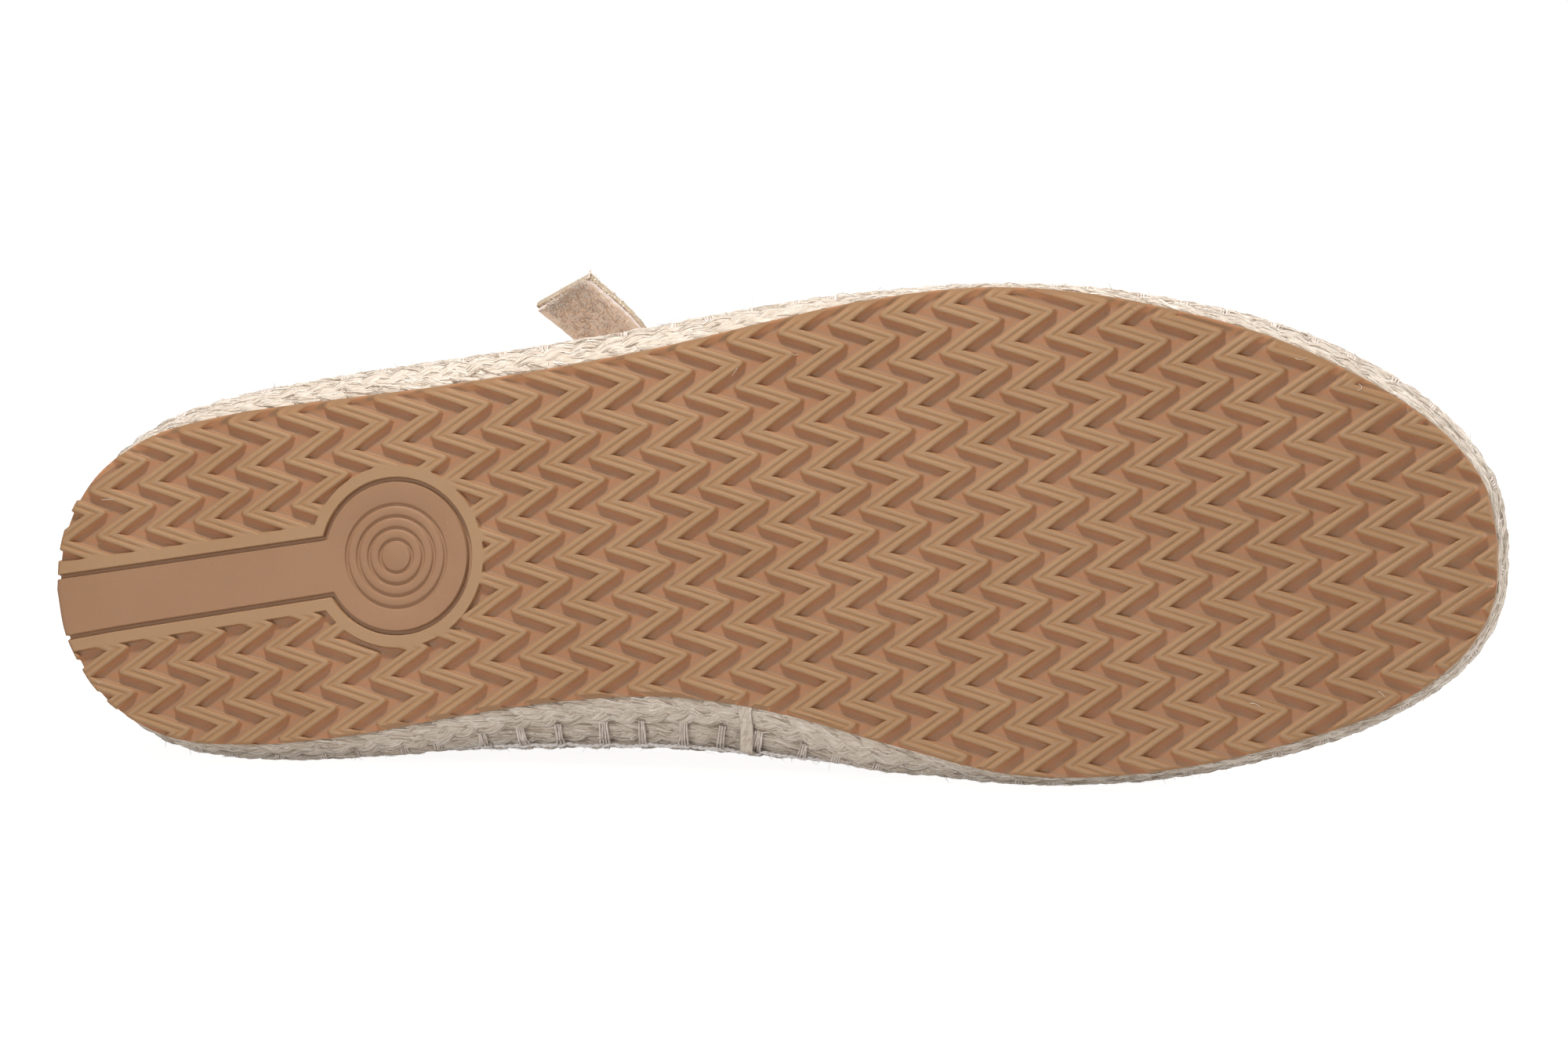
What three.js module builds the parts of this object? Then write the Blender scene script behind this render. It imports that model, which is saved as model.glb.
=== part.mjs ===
// Mary jane flat with a rope sole, right shoe, women's size about EU 39, lying on its medial side.
// The shoe is drawn standing, in its own frame (mm): x runs from the back of the heel to the toe,
// y towards the medial side, z up from the ground. It is then turned to lie on the floor.
import * as THREE from 'three';

// ---------------------------------------------------------------- driving sizes (mm)
const RUBBER = 3.0;            // outsole thickness over the ribs
const RUBBER_EDGE = 0.7;       // rounding of the outsole's lower edge
const GAP = 0.3;               // pieces meet this far apart
const ROPE_ROWS = 3;           // rows of braided rope in the midsole
const ROPE_PITCH = 5.4;        // height of one row
const ROPE_BULGE = 3.1;        // how far a row stands out from its own middle
const LOW_ROW_SET = 0.4;       // away from the waist the lowest row sits this far in
const MIDDLE_ROW_SET = 1.2;    // at the waist the middle row sits this far in
const TOP_ROW_SET = 0.6;       // away from the waist the top row sits this far in
const WAIST_TUCK = 2.6, WAIST_SHARE = 0.48;   // at the waist the lowest row stands out by this share of the flare, less the tuck
const INSOLE = 3.0;            // foot bed thickness
const WALL = 1.8;              // suede upper, with its lining
const STRAP_WIDTH = 12.0;
const STRAP_THICK = 2.6;       // two plies, rough faces out
const HEEL_SPRING = 1.4;       // lift of the outsole at the back of the heel
const HEEL_SPRING_FROM = 14;
const ARCH_RISE = 1.0;         // lift under the waist
const ARCH_FROM = 92, ARCH_TO = 152;
const TOE_SPRING = 6.8;        // lift of the toe tip
const TOE_SPRING_FROM = 200, TOE_SPRING_TO = 262;
const SIDE_STATIONS = 44;      // stations along each side, heel to toe
const UPPER_LEVELS = 8;        // levels up the upper's wall
const STRAP_STEPS = 26;

// Turn from standing to lying on the medial side: roll about the shoe's length, then the heel
// comes down and the shoe swings in plan until sole edge and upper all touch the floor.
const LIE_ROLL = -5.3447, LIE_PITCH = 4.9252, LIE_YAW = 0;   // degrees

// ---------------------------------------------------------------- short tables
// Outline of the rubber, at the ground: half sections at x, lateral (-) and medial (+).
const OUTLINE = [
  { x: 0.0, lat: 0.0, med: 0.0 },
  { x: 1.0, lat: -7.2, med: 7.4 },
  { x: 3.0, lat: -12.4, med: 12.4 },
  { x: 6.0, lat: -17.2, med: 17.9 },
  { x: 11.0, lat: -22.0, med: 23.2 },
  { x: 20.0, lat: -26.8, med: 28.2 },
  { x: 35.0, lat: -29.6, med: 30.4 },
  { x: 55.0, lat: -30.9, med: 29.8 },
  { x: 75.0, lat: -31.9, med: 27.5 },
  { x: 95.0, lat: -33.5, med: 25.9 },
  { x: 115.0, lat: -35.7, med: 26.4 },
  { x: 135.0, lat: -38.7, med: 30.6 },
  { x: 155.0, lat: -41.3, med: 37.3 },
  { x: 175.0, lat: -42.0, med: 43.3 },
  { x: 193.0, lat: -39.7, med: 44.6 },
  { x: 210.0, lat: -35.2, med: 43.3 },
  { x: 225.0, lat: -29.8, med: 40.5 },
  { x: 239.0, lat: -22.4, med: 36.6 },
  { x: 249.0, lat: -15.4, med: 31.6 },
  { x: 256.0, lat: -8.3, med: 25.7 },
  { x: 260.2, lat: -0.8, med: 18.4 },
  { x: 261.5, lat: 9.0, med: 9.0 },
];

// How far the rope midsole flares out past the rubber.
const FLARE = [
  { x: 0, lat: 1.8, med: 1.8 },
  { x: 10, lat: 2.5, med: 2.3 },
  { x: 20, lat: 3.3, med: 2.4 },
  { x: 40, lat: 4.5, med: 3.3 },
  { x: 60, lat: 5.2, med: 4.7 },
  { x: 75, lat: 5.4, med: 6.8 },
  { x: 90, lat: 5.3, med: 8.6 },
  { x: 105, lat: 5.1, med: 9.8 },
  { x: 120, lat: 4.8, med: 10.0 },
  { x: 135, lat: 4.0, med: 8.8 },
  { x: 150, lat: 2.7, med: 6.2 },
  { x: 165, lat: 1.7, med: 3.4 },
  { x: 180, lat: 1.4, med: 1.9 },
  { x: 195, lat: 1.6, med: 1.6 },
  { x: 210, lat: 2.2, med: 1.6 },
  { x: 230, lat: 2.8, med: 1.7 },
  { x: 250, lat: 2.6, med: 1.8 },
  { x: 262, lat: 1.8, med: 1.8 },
];

// Edge of the collar and throat. f is the share of the way along that side, heel to toe.
const TOPLINE_LAT = [
  { f: 0.0, x: 6.0, y: 0.0, z: 57.5 },
  { f: 0.1, x: 15.4, y: -19.6, z: 56.4 },
  { f: 0.2, x: 43.0, y: -28.6, z: 52.6 },
  { f: 0.3, x: 72.0, y: -31.6, z: 49.0 },
  { f: 0.4, x: 100.0, y: -33.2, z: 46.6 },
  { f: 0.5, x: 126.0, y: -32.2, z: 45.8 },
  { f: 0.6, x: 145.0, y: -27.6, z: 46.6 },
  { f: 0.7, x: 157.5, y: -20.4, z: 48.2 },
  { f: 0.8, x: 165.0, y: -12.6, z: 49.8 },
  { f: 0.9, x: 168.6, y: -5.0, z: 50.8 },
  { f: 1.0, x: 169.6, y: 2.6, z: 51.2 },
];
const TOPLINE_MED = [
  { f: 0.0, x: 6.0, y: 0.0, z: 57.5 },
  { f: 0.1, x: 15.4, y: 19.6, z: 56.4 },
  { f: 0.2, x: 43.5, y: 29.3, z: 53.0 },
  { f: 0.3, x: 71.0, y: 31.0, z: 49.6 },
  { f: 0.4, x: 98.0, y: 31.8, z: 47.2 },
  { f: 0.5, x: 123.0, y: 31.8, z: 46.4 },
  { f: 0.6, x: 143.5, y: 29.2, z: 47.2 },
  { f: 0.7, x: 157.0, y: 24.0, z: 48.8 },
  { f: 0.8, x: 165.0, y: 17.4, z: 50.2 },
  { f: 0.9, x: 168.6, y: 10.2, z: 51.0 },
  { f: 1.0, x: 169.6, y: 2.6, z: 51.2 },
];

// Shape of the wall between the rope and the topline: bulge and rise place the lower control
// point, lean and drop the upper one. Over the vamp the lean grows into the instep's length.
const WALL_SHAPE = [
  { f: 0.0, bulgeLat: 2.6, bulgeMed: 2.6, rise: 13.0, lean: 2.6, drop: 14.0 },
  { f: 0.1, bulgeLat: 2.0, bulgeMed: 1.4, rise: 12.5, lean: 3.2, drop: 13.0 },
  { f: 0.2, bulgeLat: 1.4, bulgeMed: 0.1, rise: 11.0, lean: 2.2, drop: 11.5 },
  { f: 0.3, bulgeLat: 1.4, bulgeMed: 1.4, rise: 10.0, lean: 3.8, drop: 10.0 },
  { f: 0.4, bulgeLat: 1.5, bulgeMed: 3.4, rise: 9.5, lean: 3.8, drop: 9.0 },
  { f: 0.5, bulgeLat: 1.5, bulgeMed: 3.0, rise: 9.5, lean: 5.0, drop: 8.4 },
  { f: 0.6, bulgeLat: 1.6, bulgeMed: 2.0, rise: 10.0, lean: 9.0, drop: 7.4 },
  { f: 0.7, bulgeLat: 1.7, bulgeMed: 1.7, rise: 12.0, lean: 17.0, drop: 5.6 },
  { f: 0.8, bulgeLat: 1.7, bulgeMed: 1.7, rise: 14.4, lean: 28.0, drop: 4.2 },
  { f: 0.9, bulgeLat: 1.6, bulgeMed: 1.6, rise: 16.2, lean: 40.0, drop: 3.4 },
  { f: 1.0, bulgeLat: 1.6, bulgeMed: 1.6, rise: 17.0, lean: 47.0, drop: 3.2 },
];

// Middle line of the strap from its sewn medial end, over the instep, to its free lateral end.
// ny and nz give the way its outer face looks.
const STRAP_LINE = [
  { x: 125.0, y: 29.4, z: 33.5, ny: 0.98, nz: 0.20 },
  { x: 124.5, y: 29.6, z: 39.0, ny: 0.96, nz: 0.28 },
  { x: 123.6, y: 28.2, z: 46.0, ny: 0.92, nz: 0.39 },
  { x: 121.6, y: 22.6, z: 54.6, ny: 0.70, nz: 0.71 },
  { x: 118.4, y: 12.0, z: 61.2, ny: 0.34, nz: 0.94 },
  { x: 114.4, y: -1.0, z: 62.8, ny: -0.06, nz: 1.0 },
  { x: 110.0, y: -14.0, z: 59.8, ny: -0.34, nz: 0.94 },
  { x: 105.0, y: -26.0, z: 53.2, ny: -0.50, nz: 0.87 },
  { x: 100.6, y: -34.6, z: 48.3, ny: -0.50, nz: 0.87 },
  { x: 95.6, y: -42.8, z: 43.8, ny: -0.54, nz: 0.84 },
  { x: 89.2, y: -51.0, z: 37.2, ny: -0.64, nz: 0.77 },
];

// ---------------------------------------------------------------- curves and tables
// Smooth value of a table's column at key k, cubic through the rows. Where a side ends at the
// shoe's heel or toe it meets the other side, so there every column but y runs in level.
function column(rows, key, name, k) {
  const n = rows.length;
  if (k <= rows[0][key]) return rows[0][name];
  if (k >= rows[n - 1][key]) return rows[n - 1][name];
  let i = 0;
  while (rows[i + 1][key] < k) i++;
  const slope = (j) => {
    if (key === 'f' && name !== 'y' && (j === 0 || j === n - 1)) return 0;
    const a = rows[Math.max(0, j - 1)], b = rows[Math.min(n - 1, j + 1)];
    return (b[name] - a[name]) / (b[key] - a[key]);
  };
  const h = rows[i + 1][key] - rows[i][key];
  const t = (k - rows[i][key]) / h;
  const t2 = t * t, t3 = t2 * t;
  return (2 * t3 - 3 * t2 + 1) * rows[i][name] + (t3 - 2 * t2 + t) * h * slope(i)
    + (3 * t2 - 2 * t3) * rows[i + 1][name] + (t3 - t2) * h * slope(i + 1);
}

// Height of the outsole's lower face above the ground.
function ground(x) {
  let z = 0;
  if (x < HEEL_SPRING_FROM) z += HEEL_SPRING * ((HEEL_SPRING_FROM - x) / HEEL_SPRING_FROM) ** 2;
  if (x > ARCH_FROM && x < ARCH_TO) {
    z += ARCH_RISE * Math.sin(Math.PI * (x - ARCH_FROM) / (ARCH_TO - ARCH_FROM)) ** 2;
  }
  if (x > TOE_SPRING_FROM) {
    z += TOE_SPRING * ((x - TOE_SPRING_FROM) / (TOE_SPRING_TO - TOE_SPRING_FROM)) ** 2;
  }
  return z;
}

// The rubber's outline as a ring of stations: lateral side heel to toe, then medial toe to heel.
// Each has its place, its outward direction in plan, its side and its share f of the way along.
function outlineRing() {
  const sideCurve = (side) => new THREE.CatmullRomCurve3(
    OUTLINE.map((row) => new THREE.Vector3(row.x, row[side], 0)), false, 'centripetal');
  const lat = sideCurve('lat').getSpacedPoints(SIDE_STATIONS);
  const med = sideCurve('med').getSpacedPoints(SIDE_STATIONS);
  const ring = [];
  for (let i = 0; i <= SIDE_STATIONS; i++) ring.push({ x: lat[i].x, y: lat[i].y, side: 'lat', f: i / SIDE_STATIONS });
  for (let i = SIDE_STATIONS - 1; i > 0; i--) ring.push({ x: med[i].x, y: med[i].y, side: 'med', f: i / SIDE_STATIONS });
  const n = ring.length;
  ring.forEach((p, i) => {
    const a = ring[(i + n - 1) % n], b = ring[(i + 1) % n];
    const dx = b.x - a.x, dy = b.y - a.y, d = Math.hypot(dx, dy);
    p.nx = -dy / d * -1; p.ny = dx / d * -1;        // ring runs lateral side first, so out is to its right
  });
  return ring;
}
const RING = outlineRing();
const flare = (p) => column(FLARE, 'x', p.side, p.x);

// A ring of points at an outward offset and a height above the outsole's lower face.
function ringAt(offset, height) {
  return RING.map((p) => {
    const x = p.x + p.nx * offset(p), y = p.y + p.ny * offset(p);
    return new THREE.Vector3(x, y, ground(x) + height);
  });
}

// ---------------------------------------------------------------- closed meshes
function geometry(points, triangles) {
  const g = new THREE.BufferGeometry();
  g.setAttribute('position', new THREE.BufferAttribute(new Float32Array(points.flatMap((p) => [p.x, p.y, p.z])), 3));
  // faces are turned to point out of the body
  let volume = 0;
  for (const [a, b, c] of triangles) volume += points[a].dot(points[b].clone().cross(points[c])) / 6;
  const tri = volume > 0 ? triangles : triangles.map(([a, b, c]) => [a, c, b]);
  g.setIndex(tri.flat());
  g.computeVertexNormals();
  return g;
}

// Walls between neighbouring rings.
function walls(rings, closed) {
  const n = rings[0].length, out = [];
  const last = closed ? rings.length : rings.length - 1;
  for (let j = 0; j < last; j++) {
    const k = (j + 1) % rings.length;
    for (let i = 0; i < n; i++) {
      const m = (i + 1) % n;
      out.push([j * n + i, j * n + m, k * n + m], [j * n + i, k * n + m, k * n + i]);
    }
  }
  return out;
}

// A slab: stacked rings with the first and last closed by rungs from the lateral to the medial side.
function slab(rings) {
  const n = rings[0].length, top = (rings.length - 1) * n;
  const tri = walls(rings, false);
  const half = n / 2;
  for (const [base, flip] of [[0, false], [top, true]]) {
    for (let i = 0; i < half; i++) {
      const a = base + i, b = base + i + 1, c = base + (n - i) % n, d = base + n - i - 1;
      const quad = i === 0 ? [[a, d, b]] : i === half - 1 ? [[a, c, b]] : [[a, d, b], [a, c, d]];
      for (const [p, q, r] of quad) tri.push(flip ? [p, r, q] : [p, q, r]);
    }
  }
  return geometry(rings.flat(), tri);
}

// ---------------------------------------------------------------- the pieces
function outsole() {
  return slab([
    ringAt(() => -RUBBER_EDGE, 0),
    ringAt(() => 0, RUBBER_EDGE),
    ringAt(() => -0.1, RUBBER),
  ]);
}

const MIDSOLE_BOTTOM = RUBBER + GAP;
const MIDSOLE_TOP = MIDSOLE_BOTTOM + ROPE_ROWS * ROPE_PITCH;
const FOOTBED = MIDSOLE_TOP + GAP;

// Share, 0 to 1, by which a station belongs to the medial waist, where the rope leans out past the rubber.
function waist(p) {
  if (p.side === 'lat') return 0;
  const t = Math.max(0, Math.min(1, (p.x - 58) / 26)) * Math.max(0, Math.min(1, (152 - p.x) / 22));
  return t * t * (3 - 2 * t);
}

// Outward place of the middle of rope row k. At the waist the lowest row tucks in towards the
// rubber and the rows above it lean out; elsewhere they stand nearly flush.
function rowOut(p, k) {
  const full = flare(p) - ROPE_BULGE, w = waist(p);
  if (k === 0) return full - LOW_ROW_SET + w * (WAIST_SHARE * flare(p) - WAIST_TUCK - full + LOW_ROW_SET);
  return k === 1 ? full - MIDDLE_ROW_SET * w : full - TOP_ROW_SET * (1 - w);
}

function midsole() {
  const rings = [ringAt((p) => rowOut(p, 0) + 0.4, MIDSOLE_BOTTOM)];
  for (let k = 0; k < ROPE_ROWS; k++) {
    const middle = MIDSOLE_BOTTOM + (k + 0.5) * ROPE_PITCH;
    for (const [side, share] of [[-0.36, 0.72], [0, 1], [0.36, 0.72]]) {
      rings.push(ringAt((p) => rowOut(p, k) + ROPE_BULGE * share, middle + side * ROPE_PITCH));
    }
  }
  rings.push(ringAt((p) => rowOut(p, 2) + 0.4, MIDSOLE_TOP));
  return slab(rings);
}

// Outer face of the upper at ring station p, level t from the rope (0) to the topline (1).
const UPPER_SET = 1.6;   // the upper's foot stands this far in from the rope's widest line
function upperPoint(p, t) {
  const o = flare(p) - UPPER_SET;
  const foot = new THREE.Vector3(p.x + p.nx * o, p.y + p.ny * o, ground(p.x + p.nx * o) + FOOTBED);
  const rows = p.side === 'lat' ? TOPLINE_LAT : TOPLINE_MED;
  const top = new THREE.Vector3(column(rows, 'f', 'x', p.f), column(rows, 'f', 'y', p.f), column(rows, 'f', 'z', p.f));
  const away = new THREE.Vector3(foot.x - top.x, foot.y - top.y, 0);
  const way = away.length() > 12 ? away.normalize() : away.normalize().lerp(new THREE.Vector3(p.nx, p.ny, 0), 0.5).normalize();
  const bulge = column(WALL_SHAPE, 'f', p.side === 'lat' ? 'bulgeLat' : 'bulgeMed', p.f);
  const low = foot.clone().add(new THREE.Vector3(p.nx * bulge, p.ny * bulge, column(WALL_SHAPE, 'f', 'rise', p.f)));
  const high = top.clone().addScaledVector(way, column(WALL_SHAPE, 'f', 'lean', p.f));
  high.z -= column(WALL_SHAPE, 'f', 'drop', p.f);
  return new THREE.CubicBezierCurve3(foot, low, high, top).getPoint(t);
}

function upper() {
  const n = RING.length;
  const outer = [];
  for (let j = 0; j <= UPPER_LEVELS; j++) outer.push(RING.map((p) => upperPoint(p, j / UPPER_LEVELS)));
  // inner face: the outer one moved in along its own normal
  const inner = outer.map((ring, j) => ring.map((q, i) => {
    const along = ring[(i + 1) % n].clone().sub(ring[(i + n - 1) % n]);
    const up = outer[Math.min(UPPER_LEVELS, j + 1)][i].clone().sub(outer[Math.max(0, j - 1)][i]);
    if (j === 0) { up.x = 0; up.y = 0; }
    const out = along.cross(up).normalize();
    return q.clone().addScaledVector(out, out.dot(new THREE.Vector3(RING[i].nx, RING[i].ny, 0.6)) > 0 ? -WALL : WALL);
  }));
  inner[0].forEach((q, i) => { q.z = outer[0][i].z; });
  const rings = [...outer, ...inner.reverse()];
  return geometry(rings.flat(), walls(rings, true));
}

function insole() {
  const edge = (p) => flare(p) - UPPER_SET - WALL - GAP - 0.5;
  return slab([
    ringAt((p) => edge(p), FOOTBED),
    ringAt((p) => edge(p), FOOTBED + INSOLE - 0.8),
    ringAt((p) => edge(p) - 0.8, FOOTBED + INSOLE),
  ]);
}

function strap() {
  const line = new THREE.CatmullRomCurve3(STRAP_LINE.map((r) => new THREE.Vector3(r.x, r.y, r.z)), false, 'centripetal');
  const rows = STRAP_LINE.map((r, i) => ({ ...r, i }));
  const rings = [];
  for (let j = 0; j <= STRAP_STEPS; j++) {
    const t = j / STRAP_STEPS;
    const at = line.getPoint(t), ahead = line.getTangent(t);
    const k = t * (rows.length - 1);
    const face = new THREE.Vector3(0, column(rows, 'i', 'ny', k), column(rows, 'i', 'nz', k));
    face.addScaledVector(ahead, -face.dot(ahead)).normalize();
    const across = ahead.clone().cross(face).normalize();
    rings.push([[-1, -1], [1, -1], [1, 1], [-1, 1]].map(([a, b]) => at.clone()
      .addScaledVector(across, a * STRAP_WIDTH / 2).addScaledVector(face, b * STRAP_THICK / 2)));
  }
  const n = 4, end = STRAP_STEPS * n;
  const tri = walls(rings, false);
  tri.push([0, 2, 1], [0, 3, 2], [end, end + 1, end + 2], [end, end + 2, end + 3]);
  return geometry(rings.flat(), tri);
}

// ---------------------------------------------------------------- materials and assembly
const material = (name, color, roughness) => new THREE.MeshStandardMaterial({ name, color, roughness, metalness: 0 });
const piece = (name, shape, mat) => { const m = new THREE.Mesh(shape, mat); m.name = name; return m; };

const standing = new THREE.Group();
standing.add(piece('outsole', outsole(), material('tan_rubber', 0xa47c5d, 0.7)));
standing.add(piece('midsole', midsole(), material('jute', 0xcdb9a2, 0.95)));
standing.add(piece('insole', insole(), material('cotton', 0xd8cbb8, 0.9)));
standing.add(piece('upper', upper(), material('suede', 0xb08a66, 0.95)));
standing.add(piece('strap', strap(), material('suede', 0xb08a66, 0.95)));

// Lying down: the standing shoe's y turns to the floor, then it leans until it touches.
const deg = Math.PI / 180;
const turn = new THREE.Matrix4().makeRotationX(-90 * deg)
  .premultiply(new THREE.Matrix4().makeRotationX(LIE_ROLL * deg))
  .premultiply(new THREE.Matrix4().makeRotationY(-LIE_PITCH * deg))
  .premultiply(new THREE.Matrix4().makeRotationZ(LIE_YAW * deg));
standing.applyMatrix4(turn);
standing.updateMatrixWorld(true);

// The origin is under the middle of the whole shoe, at the floor.
const box = new THREE.Box3().setFromObject(standing, true);
const shoe = new THREE.Group();
shoe.add(standing);
standing.position.set(-(box.min.x + box.max.x) / 2, -(box.min.y + box.max.y) / 2, -box.min.z);

export default shoe;
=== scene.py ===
# Looks for the mary jane flat: zigzag rubber tread, braided jute, suede upper and strap, foot bed,
# with the floor, the light and the camera. Shapes are made in the standing shoe's own millimetres
# (x heel to toe, y medial, z up from the ground) and turned to the lying shoe at the end.
import math

import bpy
import numpy as np
from mathutils import Matrix, Vector
from mathutils.geometry import delaunay_2d_cdt, tessellate_polygon


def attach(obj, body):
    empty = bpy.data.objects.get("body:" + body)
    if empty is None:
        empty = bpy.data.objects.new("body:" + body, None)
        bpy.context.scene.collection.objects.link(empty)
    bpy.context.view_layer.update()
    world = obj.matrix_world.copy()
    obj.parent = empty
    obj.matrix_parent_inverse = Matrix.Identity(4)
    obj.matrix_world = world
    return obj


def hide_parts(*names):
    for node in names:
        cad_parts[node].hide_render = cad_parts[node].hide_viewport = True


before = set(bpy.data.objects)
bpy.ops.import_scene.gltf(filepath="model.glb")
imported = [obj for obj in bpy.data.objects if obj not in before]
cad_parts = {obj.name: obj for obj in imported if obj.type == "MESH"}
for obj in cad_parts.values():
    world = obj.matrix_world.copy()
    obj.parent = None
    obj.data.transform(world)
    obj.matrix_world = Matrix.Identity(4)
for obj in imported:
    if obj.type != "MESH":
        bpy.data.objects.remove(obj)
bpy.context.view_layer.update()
rng = np.random.default_rng(11)

# ------------------------------------------------------------------ sizes (mm)
RUBBER, GAP = 3.0, 0.3
ROPE_PITCH, ROPE_BULGE = 5.4, 3.1
LOW_ROW_SET, MIDDLE_ROW_SET, TOP_ROW_SET = 0.4, 1.2, 0.6
WAIST_TUCK, WAIST_SHARE = 2.6, 0.48
MIDSOLE_BOTTOM = RUBBER + GAP
MIDSOLE_TOP = MIDSOLE_BOTTOM + 3 * ROPE_PITCH
FOOTBED = MIDSOLE_TOP + GAP
INSOLE, WALL, UPPER_SET = 3.0, 1.8, 1.6
STRAP_WIDTH, STRAP_THICK = 12.0, 2.6

# standing shoe (mm) to the lying row frame (mm)
LIE = np.array([
    [0.99630763, 0.08548186, 0.00799718, -130.79544841],
    [0.0, -0.09314739, 0.99565233, -29.94619735],
    [0.08585513, -0.99197602, -0.09280345, 31.23713822],
])

OUTLINE = np.array([
    (0.0, 0.0, 0.0), (1.0, -7.2, 7.4), (3.0, -12.4, 12.4), (6.0, -17.2, 17.9), (11.0, -22.0, 23.2),
    (20.0, -26.8, 28.2), (35.0, -29.6, 30.4), (55.0, -30.9, 29.8), (75.0, -31.9, 27.5),
    (95.0, -33.5, 25.9), (115.0, -35.7, 26.4), (135.0, -38.7, 30.6), (155.0, -41.3, 37.3),
    (175.0, -42.0, 43.3), (193.0, -39.7, 44.6), (210.0, -35.2, 43.3), (225.0, -29.8, 40.5),
    (239.0, -22.4, 36.6), (249.0, -15.4, 31.6), (256.0, -8.3, 25.7), (260.2, -0.8, 18.4),
    (261.5, 9.0, 9.0),
])
FLARE = np.array([
    (0, 1.8, 1.8), (10, 2.5, 2.3), (20, 3.3, 2.4), (40, 4.5, 3.3), (60, 5.2, 4.7), (75, 5.4, 6.8),
    (90, 5.3, 8.6), (105, 5.1, 9.8), (120, 4.8, 10.0), (135, 4.0, 8.8), (150, 2.7, 6.2),
    (165, 1.7, 3.4), (180, 1.4, 1.9), (195, 1.6, 1.6), (210, 2.2, 1.6), (230, 2.8, 1.7),
    (250, 2.6, 1.8), (262, 1.8, 1.8),
])
TOPLINE = [np.array([
    (0.0, 6.0, 0.0, 57.5), (0.1, 15.4, -19.6, 56.4), (0.2, 43.0, -28.6, 52.6), (0.3, 72.0, -31.6, 49.0),
    (0.4, 100.0, -33.2, 46.6), (0.5, 126.0, -32.2, 45.8), (0.6, 145.0, -27.6, 46.6),
    (0.7, 157.5, -20.4, 48.2), (0.8, 165.0, -12.6, 49.8), (0.9, 168.6, -5.0, 50.8),
    (1.0, 169.6, 2.6, 51.2),
]), np.array([
    (0.0, 6.0, 0.0, 57.5), (0.1, 15.4, 19.6, 56.4), (0.2, 43.5, 29.3, 53.0), (0.3, 71.0, 31.0, 49.6),
    (0.4, 98.0, 31.8, 47.2), (0.5, 123.0, 31.8, 46.4), (0.6, 143.5, 29.2, 47.2),
    (0.7, 157.0, 24.0, 48.8), (0.8, 165.0, 17.4, 50.2), (0.9, 168.6, 10.2, 51.0),
    (1.0, 169.6, 2.6, 51.2),
])]
# f, bulge lateral, bulge medial, rise, lean, drop
WALL_SHAPE = np.array([
    (0.0, 2.6, 2.6, 13.0, 2.6, 14.0), (0.1, 2.0, 1.4, 12.5, 3.2, 13.0), (0.2, 1.4, 0.1, 11.0, 2.2, 11.5),
    (0.3, 1.4, 1.4, 10.0, 3.8, 10.0), (0.4, 1.5, 3.4, 9.5, 3.8, 9.0), (0.5, 1.5, 3.0, 9.5, 5.0, 8.4),
    (0.6, 1.6, 2.0, 10.0, 9.0, 7.4), (0.7, 1.7, 1.7, 12.0, 17.0, 5.6), (0.8, 1.7, 1.7, 14.4, 28.0, 4.2),
    (0.9, 1.6, 1.6, 16.2, 40.0, 3.4), (1.0, 1.6, 1.6, 17.0, 47.0, 3.2),
])
# x, y, z, and the outer face's direction in y and z
STRAP_LINE = np.array([
    (125.0, 29.4, 33.5, 0.98, 0.20), (124.5, 29.6, 39.0, 0.96, 0.28), (123.6, 28.2, 46.0, 0.92, 0.39),
    (121.6, 22.6, 54.6, 0.70, 0.71), (118.4, 12.0, 61.2, 0.34, 0.94), (114.4, -1.0, 62.8, -0.06, 1.0),
    (110.0, -14.0, 59.8, -0.34, 0.94), (105.0, -26.0, 53.2, -0.50, 0.87),
    (100.6, -34.6, 48.3, -0.50, 0.87), (95.6, -42.8, 43.8, -0.54, 0.84), (89.2, -51.0, 37.2, -0.64, 0.77),
])


# ------------------------------------------------------------------ curves and tables
def smooth(keys, values, k, level_ends=False):
    keys, values = np.asarray(keys, float), np.asarray(values, float)
    k = np.clip(np.asarray(k, float), keys[0], keys[-1])
    i = np.clip(np.searchsorted(keys, k, side="right") - 1, 0, len(keys) - 2)
    m = np.empty(len(keys))
    m[1:-1] = (values[2:] - values[:-2]) / (keys[2:] - keys[:-2])
    m[0] = (values[1] - values[0]) / (keys[1] - keys[0])
    m[-1] = (values[-1] - values[-2]) / (keys[-1] - keys[-2])
    if level_ends:
        m[0] = m[-1] = 0.0
    h = keys[i + 1] - keys[i]
    t = (k - keys[i]) / h
    return ((2 * t**3 - 3 * t**2 + 1) * values[i] + (t**3 - 2 * t**2 + t) * h * m[i]
            + (3 * t**2 - 2 * t**3) * values[i + 1] + (t**3 - t**2) * h * m[i + 1])


def ground(x):
    x = np.asarray(x, float)
    z = np.where(x < 14, 1.4 * ((14 - x) / 14) ** 2, 0.0)
    z = z + np.where((x > 92) & (x < 152), np.sin(np.pi * (x - 92) / 60) ** 2, 0.0)
    return z + np.where(x > 200, 6.8 * ((x - 200) / 62) ** 2, 0.0)


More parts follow.
